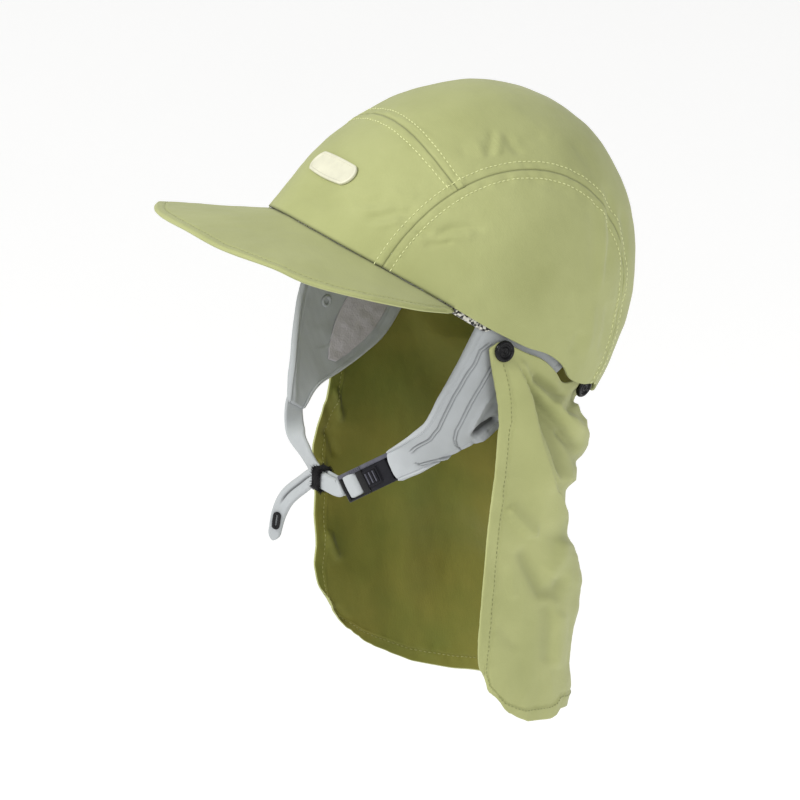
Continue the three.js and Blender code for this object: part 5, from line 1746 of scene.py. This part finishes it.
def build_keeper():
    """The elastic band round the strap and its free end, with frayed edges."""
    high = TAIL_WALL + 1.5 * GAP + KEEPER_WALL
    low = STRAP_WALL + 1.5 * GAP + KEEPER_WALL
    wide = max(STRAP_WIDTH, TAIL_WIDTH) / 2 + GAP + KEEPER_WALL
    count = 120
    angle = np.linspace(0, 2 * math.pi, count + 1)[:-1]
    power = 0.42
    y = wide * np.sign(np.cos(angle)) * np.abs(np.cos(angle)) ** power
    z = (high + low) / 2 * np.sign(np.sin(angle)) * np.abs(np.sin(angle)) ** power + (high - low) / 2
    along = np.linspace(-KEEPER_LENGTH / 2, KEEPER_LENGTH / 2, 22)
    profile = KEEPER_WALL * 0.4 * (1 - (2 * along / KEEPER_LENGTH) ** 4)
    chance = np.random.default_rng(17)
    rough = 0.12 * chance.normal(size=(22, count))
    shrink = (KEEPER_WALL * 0.75 - profile[:, None] - rough) / wide
    outer = KEEPER.at(along[:, None] * np.ones(count), y[None, :] * (1 - shrink), z[None, :] * (1 - shrink))
    inside = (1 - KEEPER_WALL / wide) * np.ones((22, 1))
    inner = KEEPER.at(along[:, None] * np.ones(count), y[None, :] * inside, z[None, :] * inside)
    piece = shell_piece("strap_keeper_band", outer, inner, [finish("elastic")], ring=True)
    finished(piece, "black_elastic", "strap_keeper")
    rims = [(outer[row], KEEPER.along * way) for row, way in ((1, -1), (-2, 1), (3, -0.4), (-4, 0.4))]
    roots = np.concatenate([rim for rim, _ in rims for _ in range(2)])
    ways = np.concatenate([np.tile(way, (2 * len(rim), 1)) for rim, way in rims])
    middle = KEEPER.at((roots - KEEPER.origin) @ KEEPER.along, 0, (high - low) / 2)
    finished(fuzz("strap_keeper_fray", roots, 1.1 * ways + 0.7 * unit(roots - middle)), "black_elastic")


def fuzz(name, roots, ways):
    """Short loose fibres that stand from their roots."""
    chance = np.random.default_rng(29)
    roots = roots + 0.35 * chance.normal(size=roots.shape)
    tips = roots + ways * chance.uniform(0.3, 1.5, (len(roots), 1)) + 0.35 * chance.normal(size=roots.shape)
    aside = unit(np.cross(tips - roots, chance.normal(size=roots.shape)))
    other = unit(np.cross(tips - roots, aside))
    behind = roots - 0.06 * aside
    corners = [roots + 0.11 * aside, behind + 0.1 * other, behind - 0.1 * other, tips]
    points = np.stack(corners, axis=1).reshape(-1, 3)
    start = 4 * np.arange(len(roots))[:, None]
    faces = np.concatenate([start + np.array(f) for f in ((0, 1, 3), (1, 2, 3), (2, 0, 3), (0, 2, 1))])
    mesh = bpy.data.meshes.new(name)
    mesh.from_pydata((points * MM).tolist(), [], faces.tolist())
    mesh.materials.append(finish("elastic"))
    return linked(name, mesh)


def build_tail_eyelet():
    axes = Axes(cad_middle("tail_eyelet"), (-0.16, -0.05, -0.98), TAIL_FACING)
    angle = np.linspace(0, 2 * math.pi, 81)[:-1][None, :]
    half_length, half_width = 4.9, 2.1
    share = np.array([0.2, 0.26, 0.5, 0.78, 0.94, 1.0, 1.0])[:, None]
    rise = np.array([0.0, 0.35, 0.5, 0.5, 0.42, 0.2, -0.35])[:, None]
    angle, share, rise = np.broadcast_arrays(angle, share, rise)
    straight = half_length - half_width
    x = np.clip(np.cos(angle) * half_length * 2, -straight, straight) + half_width * share * np.cos(angle)
    y = half_width * share * np.sin(angle)
    outer = axes.at(x, y, rise)
    inner = axes.at(x, y, np.full(x.shape, -0.4))
    piece = shell_piece("tail_eyelet_ring", outer, inner, [finish("black")], ring=True, roundness=0.0)
    finished(piece, "black_plastic", "tail_eyelet")


# Stage


# The studio, in metres and watts: the lights' places, sizes and power, and what they aim at
KEY_LIGHT = ((-0.3, -2.6, 2.4), 1.0, 95)
FILL_LIGHT = ((3.0, -0.4, 1.1), 1.6, 26)
LIGHT_TARGET = (0, 0, -0.05)
SKY_STRENGTH = 0.56
FLOOR_SIDES = 48
FLOOR_REACH = 60
FLOOR_HEIGHT = -0.85

# Rings of the floor and its cove: shares of its reach and heights over it
FLOOR_RINGS = ((1.0, 0), (1.03, 0.02), (1.1, 1), (1.12, 14))


def area_light(name, place, size, power):
    data = bpy.data.lights.new(name, "AREA")
    data.shape = "DISK"
    data.size = size
    data.energy = power
    lamp = linked(name, data)
    lamp.location = place
    lamp.rotation_mode = "QUATERNION"
    lamp.rotation_quaternion = (Vector(LIGHT_TARGET) - Vector(place)).to_track_quat("-Z", "Y")


def build_camera():
    distance = sizes().camera_distance
    middle = PHOTO_SIZE / 2
    aim = VIEW_RIGHT * (middle - ORIGIN_PIXEL[0]) + VIEW_UP * (ORIGIN_PIXEL[1] - middle)
    aim = aim / PIXELS_PER_MM * MM
    data = bpy.data.cameras.new("camera")
    data.sensor_width = 36
    data.lens = data.sensor_width * distance / (PHOTO_SIZE / PIXELS_PER_MM * MM)
    data.clip_end = 100
    camera = linked("camera", data)
    camera.location = Vector(aim + VIEW_BACK * distance)
    camera.rotation_mode = "QUATERNION"
    camera.rotation_quaternion = Vector(-VIEW_BACK).to_track_quat("-Z", "Y")
    bpy.context.scene.camera = camera


def build_floor():
    """A round floor under the cap, with a cove and a wall far off."""
    turns = [2 * math.pi * k / FLOOR_SIDES for k in range(FLOOR_SIDES)]
    corners = [
        (FLOOR_REACH * r * math.cos(t), FLOOR_REACH * r * math.sin(t), FLOOR_HEIGHT + rise)
        for r, rise in FLOOR_RINGS
        for t in turns
    ]
    faces = [tuple(range(FLOOR_SIDES))]
    for ring in range(len(FLOOR_RINGS) - 1):
        low, high = FLOOR_SIDES * ring, FLOOR_SIDES * (ring + 1)
        for k in range(FLOOR_SIDES):
            after = (k + 1) % FLOOR_SIDES
            faces.append((low + k, low + after, high + after, high + k))
    mesh = bpy.data.meshes.new("floor")
    mesh.from_pydata(corners, [], faces)
    mesh.materials.append(finish("floor"))
    floor = linked("floor", mesh)


def build_stage():
    scene = bpy.context.scene
    build_floor()
    build_camera()
    world = bpy.data.worlds.new("studio")
    world.use_nodes = True
    world.node_tree.nodes["Background"].inputs["Color"].default_value = (1, 1, 1, 1)
    world.node_tree.nodes["Background"].inputs["Strength"].default_value = SKY_STRENGTH
    scene.world = world
    area_light("key", *KEY_LIGHT)
    area_light("fill", *FILL_LIGHT)
    scene.view_settings.view_transform = "Standard"


# Operators


def build_ears():
    build_ear(1, LEFT_EAR, "ear_panel_left", NEAR_CHANNELS, NEAR_WRINKLES, BUCKLE)
    build_ear(-1, RIGHT_EAR, "ear_panel_right", (), FAR_WRINKLES)
    build_pocket(1, LEFT_EAR, "ear_pocket_left")
    build_pocket(-1, RIGHT_EAR, "ear_pocket_right")


class CAP_OT_crown(bpy.types.Operator):
    """Builds the four panels of the crown and their topstitching"""

    bl_idname = "cap.crown"
    bl_label = "Crown"

    def execute(self, context):
        build_crown()
        return {"FINISHED"}


class CAP_OT_peak(bpy.types.Operator):
    """Builds the stiff peak"""

    bl_idname = "cap.peak"
    bl_label = "Peak"

    def execute(self, context):
        build_peak()
        return {"FINISHED"}


class CAP_OT_badge(bpy.types.Operator):
    """Builds the rubber badge on the front panel"""

    bl_idname = "cap.badge"
    bl_label = "Badge"

    def execute(self, context):
        build_badge()
        return {"FINISHED"}


class CAP_OT_sweatband(bpy.types.Operator):
    """Builds the band inside the rim"""

    bl_idname = "cap.sweatband"
    bl_label = "Sweatband"

    def execute(self, context):
        build_sweatband()
        return {"FINISHED"}


class CAP_OT_ears(bpy.types.Operator):
    """Builds the ear panels, their pockets and eyelets"""

    bl_idname = "cap.ears"
    bl_label = "Ear panels"

    def execute(self, context):
        build_ears()
        build_eyelets()
        return {"FINISHED"}


class CAP_OT_snaps(bpy.types.Operator):
    """Builds the press snaps"""

    bl_idname = "cap.snaps"
    bl_label = "Snaps"

    def execute(self, context):
        build_snaps()
        return {"FINISHED"}


class CAP_OT_flap(bpy.types.Operator):
    """Builds the neck flap with its hem"""

    bl_idname = "cap.flap"
    bl_label = "Neck flap"

    def execute(self, context):
        build_flap()
        return {"FINISHED"}


class CAP_OT_buckle(bpy.types.Operator):
    """Builds the buckle and the webbing round its bars"""

    bl_idname = "cap.buckle"
    bl_label = "Buckle"

    def execute(self, context):
        build_buckle()
        return {"FINISHED"}


class CAP_OT_straps(bpy.types.Operator):
    """Builds the chin strap, its free end and its keeper"""

    bl_idname = "cap.straps"
    bl_label = "Straps"

    def execute(self, context):
        build_straps()
        build_keeper()
        build_tail_eyelet()
        return {"FINISHED"}


class CAP_OT_stage(bpy.types.Operator):
    """Builds the floor, the lights and the camera"""

    bl_idname = "cap.stage"
    bl_label = "Stage"

    def execute(self, context):
        build_stage()
        return {"FINISHED"}


OPERATORS = (
    CAP_OT_crown,
    CAP_OT_peak,
    CAP_OT_badge,
    CAP_OT_sweatband,
    CAP_OT_ears,
    CAP_OT_snaps,
    CAP_OT_flap,
    CAP_OT_buckle,
    CAP_OT_straps,
    CAP_OT_stage,
)


class CAP_PT_panel(bpy.types.Panel):
    """Lists the steps that build the cap."""

    bl_label = "Legionnaire cap"
    bl_space_type = "VIEW_3D"
    bl_region_type = "UI"
    bl_category = "Cap"

    def draw(self, context):
        for made in OPERATORS:
            self.layout.operator(made.bl_idname)
        for group in (context.scene.cap_sizes, context.scene.cap_colours):
            for name in group.__annotations__:
                self.layout.prop(group, name)


CLASSES = (CapSizes, CapColours, *OPERATORS, CAP_PT_panel)


def register():
    for each in CLASSES:
        bpy.utils.register_class(each)
    bpy.types.Scene.cap_sizes = bpy.props.PointerProperty(type=CapSizes)
    bpy.types.Scene.cap_colours = bpy.props.PointerProperty(type=CapColours)


def unregister():
    del bpy.types.Scene.cap_sizes
    del bpy.types.Scene.cap_colours
    for each in reversed(CLASSES):
        bpy.utils.unregister_class(each)


def main():
    register()
    for made in OPERATORS:
        group, name = made.bl_idname.split(".")
        getattr(getattr(bpy.ops, group), name)()
    bpy.context.view_layer.update()


if __name__ == "__main__":
    main()
